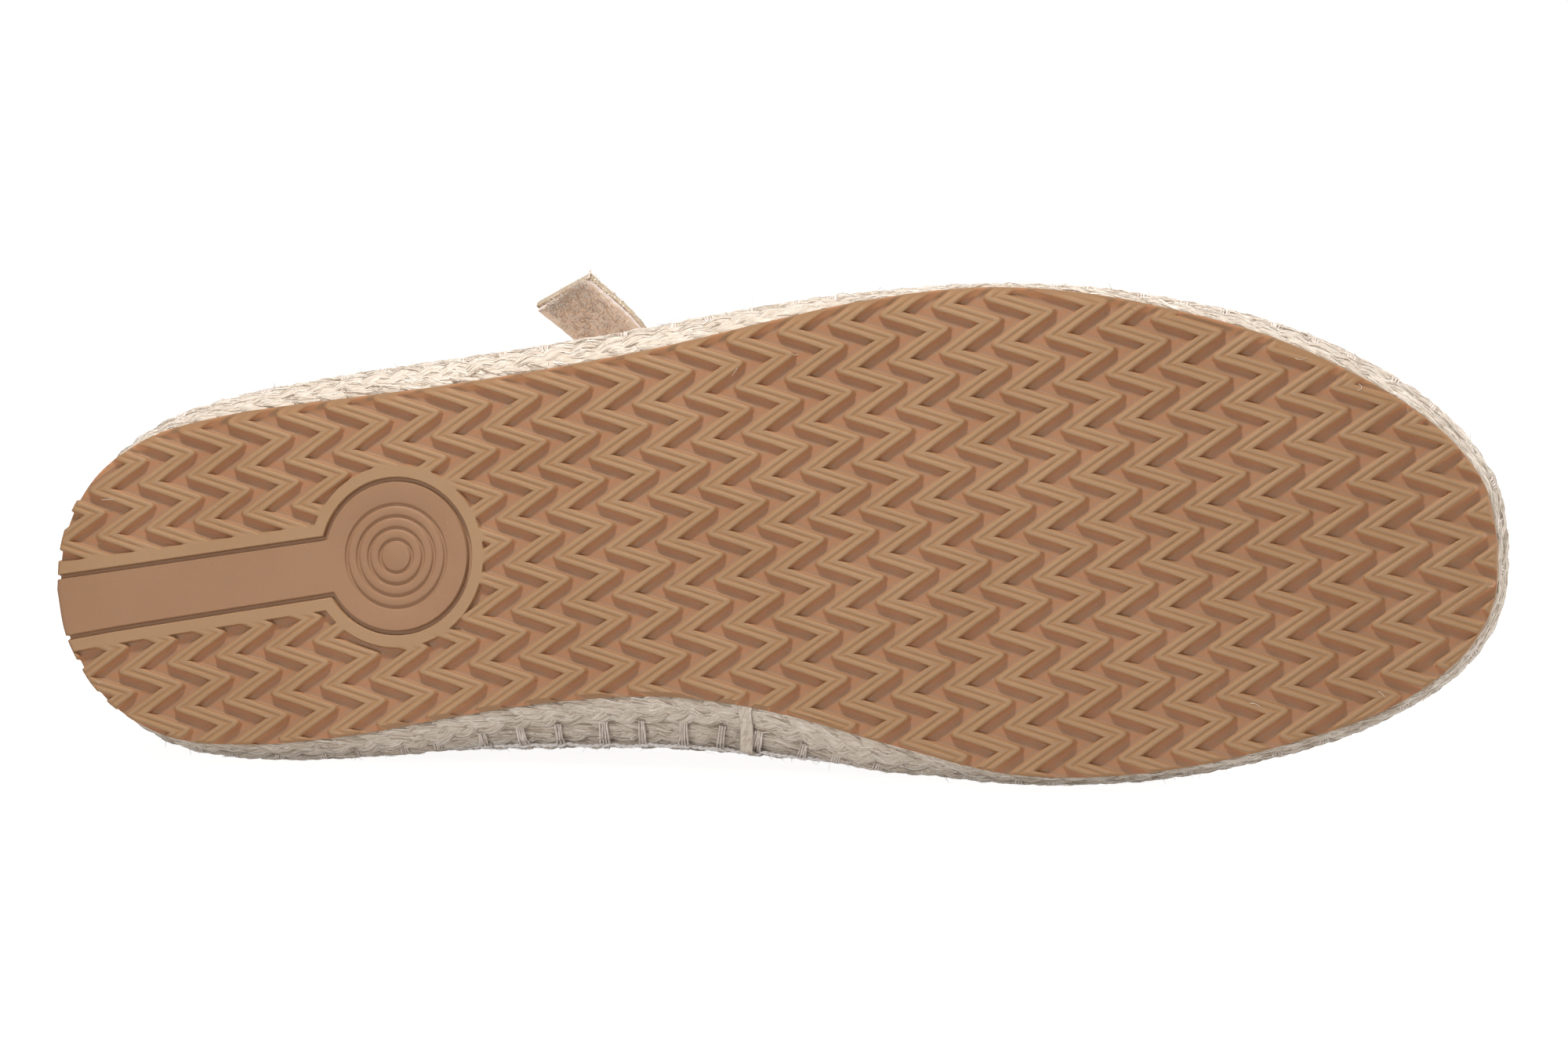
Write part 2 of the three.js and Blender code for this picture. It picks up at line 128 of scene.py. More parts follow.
def catmull(points, per=50):
    p = np.asarray(points, float)
    q = np.vstack([2 * p[0] - p[1], p, 2 * p[-1] - p[-2]])
    out = []
    for i in range(len(p) - 1):
        a, b, c, d = q[i:i + 4]
        k0, k1, k2 = (max(float(np.sum((v - u) ** 2)) ** 0.25, 1e-4) for u, v in ((a, b), (b, c), (c, d)))
        m1 = ((b - a) / k0 - (c - a) / (k0 + k1) + (c - b) / k1) * k1
        m2 = ((c - b) / k1 - (d - b) / (k1 + k2) + (d - c) / k2) * k1
        t = np.linspace(0, 1, per, endpoint=False)[:, None]
        out.append(b + m1 * t + (-3 * b + 3 * c - 2 * m1 - m2) * t**2 + (2 * b - 2 * c + m1 + m2) * t**3)
    out.append(p[-1:])
    return np.vstack(out)


def spaced(points, n):
    d = np.concatenate([[0], np.cumsum(np.linalg.norm(np.diff(points, axis=0), axis=1))])
    s = np.linspace(0, d[-1], n + 1)
    return np.stack([np.interp(s, d, points[:, j]) for j in range(points.shape[1])], 1)


class Ring:
    """The rubber's outline: lateral side heel to toe, then medial side back."""

    def __init__(self, n):
        lat = spaced(catmull(OUTLINE[:, [0, 1]]), n)
        med = spaced(catmull(OUTLINE[:, [0, 2]]), n)
        self.xy = np.vstack([lat, med[n - 1:0:-1]])
        self.side = np.array([0] * (n + 1) + [1] * (n - 1))
        self.f = np.concatenate([np.arange(n + 1), np.arange(n - 1, 0, -1)]) / n
        d = np.roll(self.xy, -1, 0) - np.roll(self.xy, 1, 0)
        d /= np.linalg.norm(d, axis=1)[:, None]
        self.t = d
        self.out = np.stack([d[:, 1], -d[:, 0]], 1)
        step = np.linalg.norm(np.roll(self.xy, -1, 0) - self.xy, axis=1)
        self.s = np.concatenate([[0], np.cumsum(step)[:-1]])
        self.length = float(step.sum())
        x = self.xy[:, 0]
        self.flare = np.where(self.side == 0, smooth(FLARE[:, 0], FLARE[:, 1], x),
                              smooth(FLARE[:, 0], FLARE[:, 2], x))

    def at(self, offset, height):
        p = self.xy + self.out * np.broadcast_to(offset, len(self.xy))[:, None]
        return np.column_stack([p, ground(p[:, 0]) + height])

    def row(self, k):
        x, y = self.xy[:, 0], self.xy[:, 1]
        tight = np.clip((x - 230) / 14, 0, 1) * np.clip((y + 18) / 12, 0, 1) * (0.55 + 0.55 * np.exp(-((y - 15) / 9) ** 2))
        full = self.flare - ROPE_BULGE - tight
        waist = np.where(self.side == 1, np.clip((x - 58) / 26, 0, 1) * np.clip((152 - x) / 22, 0, 1), 0.0)
        waist = waist * waist * (3 - 2 * waist)
        if k == 0:
            return (full - LOW_ROW_SET) * (1 - waist) + (WAIST_SHARE * self.flare - WAIST_TUCK) * waist
        return full - MIDDLE_ROW_SET * waist if k == 1 else full - TOP_ROW_SET * (1 - waist)


# ------------------------------------------------------------------ meshes
def make(name, points, faces, mats, sharp=None, attrs=None, face_mat=None):
    me = bpy.data.meshes.new(name)
    w = (np.asarray(points) @ LIE[:, :3].T + LIE[:, 3]) * 0.001
    faces = [f.tolist() if isinstance(f, np.ndarray) else f for f in faces]
    flat = []
    for f in faces:
        if f and isinstance(f[0], (list, tuple)):
            flat.extend(f)
        else:
            flat.append(f)
    me.from_pydata(w.tolist(), [], flat)
    for m in (mats if isinstance(mats, (list, tuple)) else [mats]):
        me.materials.append(m)
    if face_mat is not None:
        me.polygons.foreach_set("material_index", np.asarray(face_mat, np.int32))
    for key, values in (attrs or {}).items():
        a = me.attributes.new(key, "FLOAT", "POINT")
        a.data.foreach_set("value", np.asarray(values, np.float32))
    me.polygons.foreach_set("use_smooth", np.ones(len(me.polygons), bool))
    if sharp is not None:
        me.set_sharp_from_angle(angle=math.radians(sharp))
    me.update()
    ob = bpy.data.objects.new(name, me)
    bpy.context.scene.collection.objects.link(ob)
    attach(ob, "root")
    return ob


def grid_faces(rows, cols, start=0, close_rows=False, close_cols=True, flip=False):
    i = np.arange(rows if close_rows else rows - 1)[:, None]
    j = np.arange(cols if close_cols else cols - 1)[None, :]
    a = i * cols + j
    b = i * cols + (j + 1) % cols
    c = ((i + 1) % rows) * cols + (j + 1) % cols
    d = ((i + 1) % rows) * cols + j
    q = np.stack([a, b, c, d] if not flip else [d, c, b, a], -1).reshape(-1, 4)
    return q + start


def rung_cap(n, base, up):
    """Closes a ring of n points (n even, lateral first) with rungs from side to side."""
    half, out = n // 2, []
    for i in range(half):
        a, b, c, d = base + i, base + i + 1, base + (n - i) % n, base + n - i - 1
        for tri in ([(a, b, d)] if i == 0 else [(a, b, c)] if i == half - 1 else [(a, b, d), (a, d, c)]):
            out.append(tri if up else tri[::-1])
    return out


def above_floor(path, least=0.06):
    return float((np.asarray(path) @ LIE[2, :3]).min() + LIE[2, 3]) > least


class Bag:
    """Collects many small strips and tubes into one mesh."""

    def __init__(self, *keys):
        self.v, self.f, self.n, self.a = [], [], 0, {k: [] for k in keys}

    def add(self, points, faces, **attrs):
        self.v.append(points)
        self.f.extend((np.asarray(faces) + self.n).tolist())
        for k in self.a:
            self.a[k].append(np.broadcast_to(attrs[k], len(points)))
        self.n += len(points)

    def make(self, name, mats, sharp=None):
        return make(name, np.vstack(self.v), self.f, mats, sharp, {k: np.concatenate(v) for k, v in self.a.items()})


def unit(v):
    return v / np.maximum(np.linalg.norm(v, axis=-1, keepdims=True), 1e-9)


def tube(path, radius, sides=6, closed=False, flat=1.0, up=None, cap=True):
    """Points, faces and (along, around) of a round tube along a path."""
    path = np.asarray(path, float)
    n = len(path)
    tan = unit(np.roll(path, -1, 0) - np.roll(path, 1, 0)) if closed else unit(np.gradient(path, axis=0))
    ref = np.array([0.0, 0.0, 1.0]) if up is None else np.asarray(up, float)
    ref = np.broadcast_to(ref, path.shape)
    a = np.cross(tan, ref)
    bad = np.linalg.norm(a, axis=1) < 0.05
    if bad.any():
        a[bad] = np.cross(tan[bad], np.array([1.0, 0.3, 0.1]))
    a = unit(a)
    b = np.cross(a, tan)
    r = np.broadcast_to(radius, n)[:, None, None]
    th = np.arange(sides) / sides * 2 * np.pi
    pts = path[:, None, :] + r * (np.cos(th)[None, :, None] * a[:, None, :]
                                  + flat * np.sin(th)[None, :, None] * b[:, None, :])
    faces = grid_faces(n, sides, close_rows=closed).tolist()
    along = np.concatenate([[0], np.cumsum(np.linalg.norm(np.diff(path, axis=0), axis=1))])
    al = np.repeat(along, sides)
    ar = np.tile(np.arange(sides) / sides, n)
    pts = pts.reshape(-1, 3)
    if cap and not closed:
        faces.append(list(range(sides))[::-1])
        faces.append([(n - 1) * sides + i for i in range(sides)])
    return pts, faces, al, ar


def wave_noise(s, length, waves, amount, seed):
    """Smooth periodic noise along a loop of the given length."""
    r = np.random.default_rng(seed)
    out = np.zeros_like(s, dtype=float)
    for k in waves:
        out += r.normal() * np.sin(2 * np.pi * k * s / length + r.uniform(0, 6.28))
    return amount * out / math.sqrt(len(waves))


# ------------------------------------------------------------------ materials
class Shade:
    def __init__(self, name):
        self.mat = bpy.data.materials.new(name)
        self.mat.use_nodes = True
        self.t = self.mat.node_tree
        self.t.nodes.clear()
        self.out = self.t.nodes.new("ShaderNodeOutputMaterial")
        self.p = self.t.nodes.new("ShaderNodeBsdfPrincipled")
        self.t.links.new(self.p.outputs[0], self.out.inputs[0])
        co = self.t.nodes.new("ShaderNodeTexCoord").outputs["Object"]
        self.mm = self.vec("SCALE", co, scale=1000.0)

    def put(self, node, key, value):
        socket = node.inputs[key]
        if isinstance(value, bpy.types.NodeSocket):
            self.t.links.new(value, socket)
        else:
            socket.default_value = value

    def node(self, kind, inputs=(), **props):
        n = self.t.nodes.new("ShaderNode" + kind)
        for k, v in props.items():
            setattr(n, k, v)
        for k, v in dict(inputs).items():
            self.put(n, k, v)
        return n

    def vec(self, op, a, b=None, scale=None):
        n = self.t.nodes.new("ShaderNodeVectorMath")
        n.operation = op
        self.put(n, 0, a)
        if b is not None:
            self.put(n, 1, b)
        if scale is not None:
            self.put(n, 3, scale)
        return n.outputs[0]

    def math(self, op, a, b=0.0, clamp=False):
        n = self.t.nodes.new("ShaderNodeMath")
        n.operation, n.use_clamp = op, clamp
        self.put(n, 0, a)
        self.put(n, 1, b)
        return n.outputs[0]

    def attr(self, name):
        return self.node("Attribute", attribute_name=name).outputs["Fac"]

    def xyz(self, x, y, z):
        n = self.t.nodes.new("ShaderNodeCombineXYZ")
        for i, v in enumerate((x, y, z)):
            self.put(n, i, v)
        return n.outputs[0]

    def noise(self, vector, scale=1.0, detail=3.0, rough=0.55, distortion=0.0):
        return self.node("TexNoise", {"Vector": vector, "Scale": scale, "Detail": detail,
                                      "Roughness": rough, "Distortion": distortion}).outputs["Fac"]

    def ramp(self, fac, stops):
        n = self.t.nodes.new("ShaderNodeValToRGB")
        self.put(n, 0, fac)
        e = n.color_ramp.elements
        while len(e) < len(stops):
            e.new(0.5)
        for item, (pos, col) in zip(e, stops):
            item.position = pos
            item.color = (*col, 1.0) if len(col) == 3 else col
        return n.outputs[0]

    def mix(self, fac, a, b, blend="MIX"):
        n = self.t.nodes.new("ShaderNodeMix")
        n.data_type, n.blend_type = "RGBA", blend
        self.put(n, 0, fac)
        self.put(n, 6, a if isinstance(a, bpy.types.NodeSocket) else (*a, 1.0))
        self.put(n, 7, b if isinstance(b, bpy.types.NodeSocket) else (*b, 1.0))
        return n.outputs[2]

    def span(self, value, a, b, c, d):
        n = self.t.nodes.new("ShaderNodeMapRange")
        for i, v in enumerate((value, a, b, c, d)):
            self.put(n, i, v)
        return n.outputs[0]

    def bump(self, height, strength, distance, normal=None):
        n = self.node("Bump", {"Height": height, "Strength": strength, "Distance": distance * 0.001})
        if normal is not None:
            self.put(n, "Normal", normal)
        return n.outputs[0]

    def done(self, color, rough, normal=None, spec=0.3, sheen=0.0):
        self.put(self.p, "Base Color", color)
        self.put(self.p, "Roughness", rough)
        self.put(self.p, "Specular IOR Level", spec)
        if sheen:
            self.put(self.p, "Sheen Weight", sheen)
            self.put(self.p, "Sheen Roughness", 0.6)
        if normal is not None:
            self.put(self.p, "Normal", normal)
        return self.mat


def rubber_material():
    g = Shade("tan_rubber")
    deep = g.math("DIVIDE", g.attr("deep"), 1.02)
    # Colour by depth: darker and more saturated in the ribs' centre groove and down their walls, which is painted
    # shade; the floor's slightly pinker tone is the rubber's own.
    tone = g.ramp(deep, [
        (0.0, (0.340, 0.203, 0.107)), (0.04, (0.336, 0.197, 0.103)), (0.13, (0.330, 0.179, 0.082)),
        (0.24, (0.325, 0.180, 0.088)), (0.80, (0.312, 0.175, 0.094)), (0.97, (0.320, 0.179, 0.100)),
        (1.0, (0.320, 0.179, 0.100)),
    ])
    # Painted shade: where the 'low' mask is 1, on the medial flank of each rib and the floor beside it, the rubber
    # takes this warm orange of the shadow strips under the ribs.
    painted_shade_tone = g.ramp(deep, [(0.0, (0.340, 0.203, 0.107)), (0.14, (0.370, 0.200, 0.098)), (0.35, (0.450, 0.218, 0.105)),
                         (0.80, (0.460, 0.220, 0.104)), (0.96, (0.375, 0.176, 0.085)), (1.0, (0.352, 0.168, 0.083))])
    tone = g.mix(g.attr("low"), tone, painted_shade_tone)
    tone = g.mix(g.attr("flat"), tone, (0.302, 0.164, 0.089))
    cloud = g.noise(g.mm, 0.045, 3.0, 0.5)
    tone = g.mix(g.span(cloud, 0.35, 0.65, 0.0, 1.0), tone, g.mix(1.0, tone, (0.94, 0.92, 0.89), "MULTIPLY"))
    mottle = g.noise(g.mm, 0.55, 4.0, 0.6)
    tone = g.mix(g.span(mottle, 0.3, 0.7, 0.0, 0.6), tone, g.mix(1.0, tone, (1.07, 1.05, 1.03), "MULTIPLY"))
    grain = g.noise(g.mm, 3.2, 5.0, 0.65)
    tone = g.mix(g.span(grain, 0.40, 0.60, 0.0, 0.22), tone, g.mix(1.0, tone, (0.88, 0.85, 0.82), "MULTIPLY"))
    specks = g.noise(g.mm, 1.7, 2.0, 0.5)
    dust = g.span(specks, 0.715, 0.755, 0.0, 0.30)
    tone = g.mix(dust, tone, (0.42, 0.31, 0.22))
    height = g.math("ADD", g.math("MULTIPLY", grain, 0.35), g.math("MULTIPLY", g.noise(g.mm, 1.1, 3.0, 0.6), 0.5))
    normal = g.bump(height, 0.30, 0.14)
    return g.done(tone, g.span(mottle, 0.3, 0.7, 0.50, 0.64), normal, 0.30)


def jute_material(name, low, mid, high, stretch=3.6, strength=0.8, vary=0.0):
    """Fibre streaks run along each strand: 'along' and 'around' are its own millimetres."""
    g = Shade(name)
    along, around, seed = g.attr("along"), g.attr("around"), g.attr("tone")
    twist = g.math("ADD", around, g.math("MULTIPLY", along, 0.22))
    fine = g.noise(g.xyz(g.math("MULTIPLY", along, 0.42), g.math("MULTIPLY", twist, stretch),
                         g.math("MULTIPLY", seed, 37.0)), 1.0, 3.0, 0.62, 0.45)
    broad = g.noise(g.xyz(g.math("MULTIPLY", along, 0.34), g.math("MULTIPLY", twist, 1.4),
                          g.math("MULTIPLY", seed, 11.0)), 1.0, 3.0, 0.5, 0.2)
    cloud = g.noise(g.mm, 0.09, 3.0, 0.5)
    value = g.math("ADD", g.math("MULTIPLY", fine, 0.74), g.math("MULTIPLY", broad, 0.26))
    value = g.math("ADD", value, g.math("MULTIPLY", g.math("SUBTRACT", cloud, 0.5), 0.16))
    if vary:
        value = g.math("ADD", value, g.math("MULTIPLY", g.math("SUBTRACT", seed, 0.5), vary))
    tone = g.ramp(value, [(0.34, low), (0.44, tuple(0.35 * a + 0.65 * b for a, b in zip(low, mid))), (0.52, mid),
                          (0.66, high)])
    husk = g.noise(g.xyz(g.math("MULTIPLY", along, 0.55), g.math("MULTIPLY", twist, 4.2),
                         g.math("ADD", g.math("MULTIPLY", seed, 23.0), 5.0)), 1.0, 2.0, 0.5)
    tone = g.mix(g.span(husk, 0.67, 0.74, 0.0, 0.40), tone, g.mix(1.0, tone, (0.34, 0.26, 0.20), "MULTIPLY"))
    pale = g.noise(g.xyz(g.math("MULTIPLY", along, 0.40), g.math("MULTIPLY", twist, 3.9),
                         g.math("ADD", g.math("MULTIPLY", seed, 19.0), 9.0)), 1.0, 2.0, 0.5)
    tone = g.mix(g.span(pale, 0.62, 0.70, 0.0, 0.6), tone, high)
    # Painted shade: the strand's edges and hidden inner side ('rim') are darkened, where neighbouring strands overlap
    # it.
    painted_gap_shade = g.math("MULTIPLY", g.attr("rim"), g.span(broad, 0.35, 0.62, 0.45, 0.0))
    tone = g.mix(painted_gap_shade, tone, g.mix(1.0, tone, (0.66, 0.59, 0.52), "MULTIPLY"))
    normal = g.bump(g.math("ADD", g.math("MULTIPLY", fine, 1.0), g.math("MULTIPLY", broad, 0.6)), strength, 0.4)
    return g.done(tone, 0.85, normal, 0.18, 0.15)


def suede_material(name, base, dark, light, nap=1.0, sheen=0.35, grain=1.0, depth=0.3, shade=0.5, glow=0.0):
    g = Shade(name)
    cloud = g.noise(g.mm, 0.11, 4.0, 0.6, 0.6)
    tone = g.mix(g.span(cloud, 0.36, 0.64, 0.0, 1.0), base, dark)
    brushed = g.noise(g.vec("MULTIPLY", g.mm, (0.5, 1.6, 1.1)), 1.0, 4.0, 0.6, 0.5)
    tone = g.mix(g.span(brushed, 0.48, 0.70, 0.0, 0.6), tone, light)
    fibre = g.noise(g.vec("MULTIPLY", g.mm, (3.2 * grain, 6.5 * grain, 5.0 * grain)), 1.0, 4.0, 0.7, 0.9)
    tone = g.mix(g.span(fibre, 0.40, 0.56, shade, 0.0), tone, g.mix(1.0, tone, (0.68, 0.61, 0.54), "MULTIPLY"))
    tone = g.mix(g.span(fibre, 0.60, 0.72, 0.0, 0.5), tone, light)
    height = g.math("ADD", g.math("MULTIPLY", fibre, nap), g.math("MULTIPLY", brushed, 0.4))
    normal = g.bump(height, 0.7, depth)
    # Emission is painted light: the suede gives off a little light of its own.
    if glow:
        g.put(g.p, "Emission Color", tone)
        g.put(g.p, "Emission Strength", glow)
    return g.done(tone, 0.93, normal, 0.12, sheen)


def cloth_material(name, base, light):
    g = Shade(name)
    wx = g.node("TexWave", {"Vector": g.mm, "Scale": 0.55, "Distortion": 0.6, "Detail": 2.0, "Detail Scale": 2.0},
                wave_type="BANDS", bands_direction="X").outputs["Fac"]
    wz = g.node("TexWave", {"Vector": g.mm, "Scale": 0.55, "Distortion": 0.6, "Detail": 2.0, "Detail Scale": 2.0},
                wave_type="BANDS", bands_direction="Z").outputs["Fac"]
    weave = g.math("MAXIMUM", wx, wz)
    slub = g.noise(g.vec("MULTIPLY", g.mm, (0.2, 1.0, 2.5)), 1.0, 3.0, 0.5)
    tone = g.mix(weave, base, light)
    tone = g.mix(g.span(slub, 0.55, 0.75, 0.0, 0.5), tone, g.mix(1.0, tone, (0.86, 0.82, 0.76), "MULTIPLY"))
    normal = g.bump(g.math("ADD", weave, g.math("MULTIPLY", slub, 0.3)), 0.5, 0.2)
    return g.done(tone, 0.9, normal, 0.15, 0.1)


RUBBER_MAT = rubber_material()
JUTE_MAT = jute_material("jute", (0.46, 0.37, 0.285), (0.65, 0.55, 0.45), (0.77, 0.69, 0.60))
# Dark jute for the core behind the strands: painted shade, seen in the gaps between them.
ROPE_SHADE_CORE_MAT = jute_material("jute_core_painted_shade", (0.24, 0.18, 0.125), (0.40, 0.31, 0.23), (0.52, 0.42, 0.32))
FIBRE_MAT = jute_material("jute_fibre", (0.32, 0.235, 0.165), (0.62, 0.52, 0.425), (0.84, 0.77, 0.685), 3.0, 0.3, 0.5)
THREAD_MAT = jute_material("stitch_thread", (0.52, 0.42, 0.34), (0.74, 0.63, 0.55), (0.88, 0.79, 0.72), 5.0, 0.6, 0.15)
TWINE_MAT = jute_material("whitish_twine", (0.66, 0.58, 0.54), (0.84, 0.78, 0.75), (0.92, 0.885, 0.865), 5.0, 0.5, 0.15)
NAP_MAT = jute_material("suede_fibre", (0.68, 0.50, 0.37), (0.95, 0.78, 0.63), (0.98, 0.94, 0.88), 3.0, 0.2, 0.75)
SUEDE_MAT = suede_material("suede", (0.50, 0.345, 0.225), (0.43, 0.285, 0.18), (0.64, 0.48, 0.34))
LINING_MAT = suede_material("lining", (0.56, 0.43, 0.31), (0.50, 0.37, 0.26), (0.66, 0.54, 0.42), 0.4, 0.1)
# The strap's rough inner face: colour set much lighter than the suede's own, plus a little emission, is painted light
# on a face that sits in shade.
ROUGH_PAINTED_LIGHT_MAT = suede_material("rough_suede_painted_light", (0.97, 0.76, 0.59), (0.94, 0.70, 0.53), (0.98, 0.90, 0.80), 1.4, 0.8, 0.9, 0.32, 0.20, 0.15)
EDGE_MAT = suede_material("cut_edge", (0.54, 0.43, 0.30), (0.44, 0.33, 0.21), (0.68, 0.59, 0.47), 1.2, 0.2, 0.5)
PALE_MAT = suede_material("pale_edge", (0.80, 0.68, 0.62), (0.72, 0.58, 0.52), (0.92, 0.84, 0.80), 1.0, 0.1)
COTTON_MAT = cloth_material("cotton_cover", (0.52, 0.42, 0.31), (0.70, 0.60, 0.48))

# ------------------------------------------------------------------ the tread
LATTICE_O = np.array([136.74, 4.13])
LATTICE = np.array([[9.411, 0.9029], [-0.8004, 8.2489]])
LATTICE_INV = np.linalg.inv(LATTICE)
PITCH = 4.23              # mm across one rib and one valley
RIB_AT, RIB_SWING = 0.261, 0.449
LEFT_APEX = 0.104
DEEP = 1.02
RIB_D = [0.0, 0.11, 0.20, 0.30, 0.42, 0.70, 0.88, 1.00, 1.09, 1.20, 1.32, 1.41, 1.54, 1.88, 2.04]
RIB_Z = [0.14, 0.13, 0.095, 0.04, 0.0, 0.0, 0.04, 0.13, 0.28, 0.64, 0.92, 1.0, DEEP, DEEP, DEEP]
CHAMFER = 0.55
# band under the heel: axis, half width, end pad
BAND_A, BAND_B = np.array([1.19, 3.24]), np.array([54.19, -1.0])
BAND_DIR = unit(BAND_B - BAND_A)
BAND_SIDE = np.array([-BAND_DIR[1], BAND_DIR[0]])
BAND_HALF = (4.95, 4.60)
PAD_AT, PAD_R = BAND_A + BAND_DIR * 64.4, 13.3
PAD_RINGS = (3.0, 5.1, 7.2, 9.3)
RING_D = [0.0, 0.16, 0.30, 0.42, 0.58]
RING_Z = [0.42, 0.38, 0.20, 0.05, 0.0]
BAND_S = [0.0, 0.10, 0.28, 0.82, 1.0, 1.12]
BAND_Z = [0.0, 0.12, 1.0, 1.0, 0.12, 0.0]
RIM_END = 3.1


def apex_round(delta):
    return 0.012 + 0.30 * np.clip(delta, 0.0, 0.34)


def swing(v, wr, wl):
    q = np.mod(v - LEFT_APEX, 1.0)
    t = np.where(q < 0.5, -1 + 4 * q, 3 - 4 * q)
    a = np.abs(q - 0.5)
    t = np.where(a < wr, 1 - 2 * wr - 2 * a * a / wr, t)
    b = np.minimum(q, 1 - q)
    return np.where(b < wl, -1 + 2 * wl + 2 * b * b / wl, t)


def rib_distance(xy):
    """Signed distance across the ribs (mm) from the nearest rib's middle line."""
    uv = (xy - LATTICE_O) @ LATTICE_INV.T
    u, v = uv[:, 0], uv[:, 1]
    w0 = np.full(len(u), 0.012)
    delta = u - RIB_AT - RIB_SWING * swing(v, w0, w0)
    n = np.round(delta)
    delta = delta - n
    for _ in range(4):
        delta = u - n - RIB_AT - RIB_SWING * swing(v, apex_round(delta), apex_round(-delta))
        delta = np.clip(delta, -0.5, 0.5)
    return delta * PITCH


def painted_shade_zone(xy):
    """Mask of painted shade: 1 on the medial flank of each rib, fading over the floor next to it, 0 elsewhere."""
    uv = (xy - LATTICE_O) @ LATTICE_INV.T
    d = rib_distance(xy)
    q = np.mod(uv[:, 1] - LEFT_APEX, 1.0)
    down = np.where(q < 0.5, -d, d)            # towards the medial side, for either stroke
    zone = np.clip((down - 0.90) / 0.16, 0, 1)
    return np.maximum(zone, 0.75 * np.clip((-1.90 - down) / 0.15, 0, 1))


def band_distance(xy):
    rel = xy - BAND_A
    along, across = rel @ BAND_DIR, rel @ BAND_SIDE
    half = np.interp(along, [0, 53], BAND_HALF)
    strip = np.where(along < 64.4, np.abs(across) - half, 1e3)
    pad = np.linalg.norm(xy - PAD_AT, axis=1) - PAD_R
    return np.minimum(strip, pad)


SOLE = Ring(260)


def edge_distance(xy):
    """Distance inside the outline, and the nearest station."""
    a = SOLE.xy
    b = np.roll(a, -1, 0)
    ab = b - a
    ll = (ab**2).sum(1)
    dist, near = np.empty(len(xy)), np.empty(len(xy), int)
    for i in range(0, len(xy), 3000):
        p = xy[i:i + 3000, None, :]
        t = np.clip(((p - a) * ab).sum(2) / ll, 0, 1)
        d2 = ((p - (a + t[..., None] * ab)) ** 2).sum(2)
        k = d2.argmin(1)
        dist[i:i + 3000] = np.sqrt(d2[np.arange(len(k)), k])
        near[i:i + 3000] = k
    rel = xy - a[near]
    normal = np.stack([ab[near, 1], -ab[near, 0]], 1)
    return np.where((rel * normal).sum(1) <= 0, dist, -dist), near


def edge_shares(near):
    """By station: how far the grooves run out into the edge, and how far the rib ends are rounded off."""
    x, lateral = SOLE.xy[near, 0], SOLE.side[near] == 0
    lat = np.clip((x - 4) / 14, 0, 1) * np.clip((250 - x) / 12, 0, 1)
    med = np.clip((x - 52) / 14, 0, 1) * np.clip((150 - x) / 16, 0, 1)
    return np.where(lateral, lat, 0.0), np.where(lateral, 0.0, med)


EDGE_LEVEL = 0.30          # depth that ribs and grooves both reach at a run-out edge
FADE_END, ROUND_END = 1.9, 0.85


def tread_depth(xy):
    e, near = edge_distance(xy)
    s = band_distance(xy)
    d = np.abs(rib_distance(xy))
    base = np.interp(d, RIB_D, [0, 0, 0, 0, 0] + RIB_Z[5:])
    notch = np.interp(d, RIB_D[:5], RIB_Z[:5])
    run_out, rounded = edge_shares(near)
    t = np.clip(e / FADE_END, 0, 1)
    lost = run_out * (1 - t * t * (3 - 2 * t))
    tread = (base + notch * np.clip((s - RIM_END) / 1.1, 0, 1)) * (1 - lost) + EDGE_LEVEL * lost
    off = np.clip(1 - e / ROUND_END, 0, 1)
    tread = np.maximum(tread, 0.95 * rounded * off ** 0.8)
    ramp = np.clip((s - RIM_END) / 0.32, 0, 1)
    z = np.where(s < BAND_S[-1], np.interp(s, BAND_S, BAND_Z), tread * ramp)
    ring = np.linalg.norm(xy - PAD_AT, axis=1)
    off = np.abs(ring[:, None] - np.array(PAD_RINGS)).min(1)
    z = np.where(s < 0, np.where(ring < 11, np.interp(off, RING_D, RING_Z), 0.0), z)
    z = np.maximum(z, 0.34 * np.clip(1 - e / CHAMFER, 0, 1) ** 1.6)
    return z, e, s


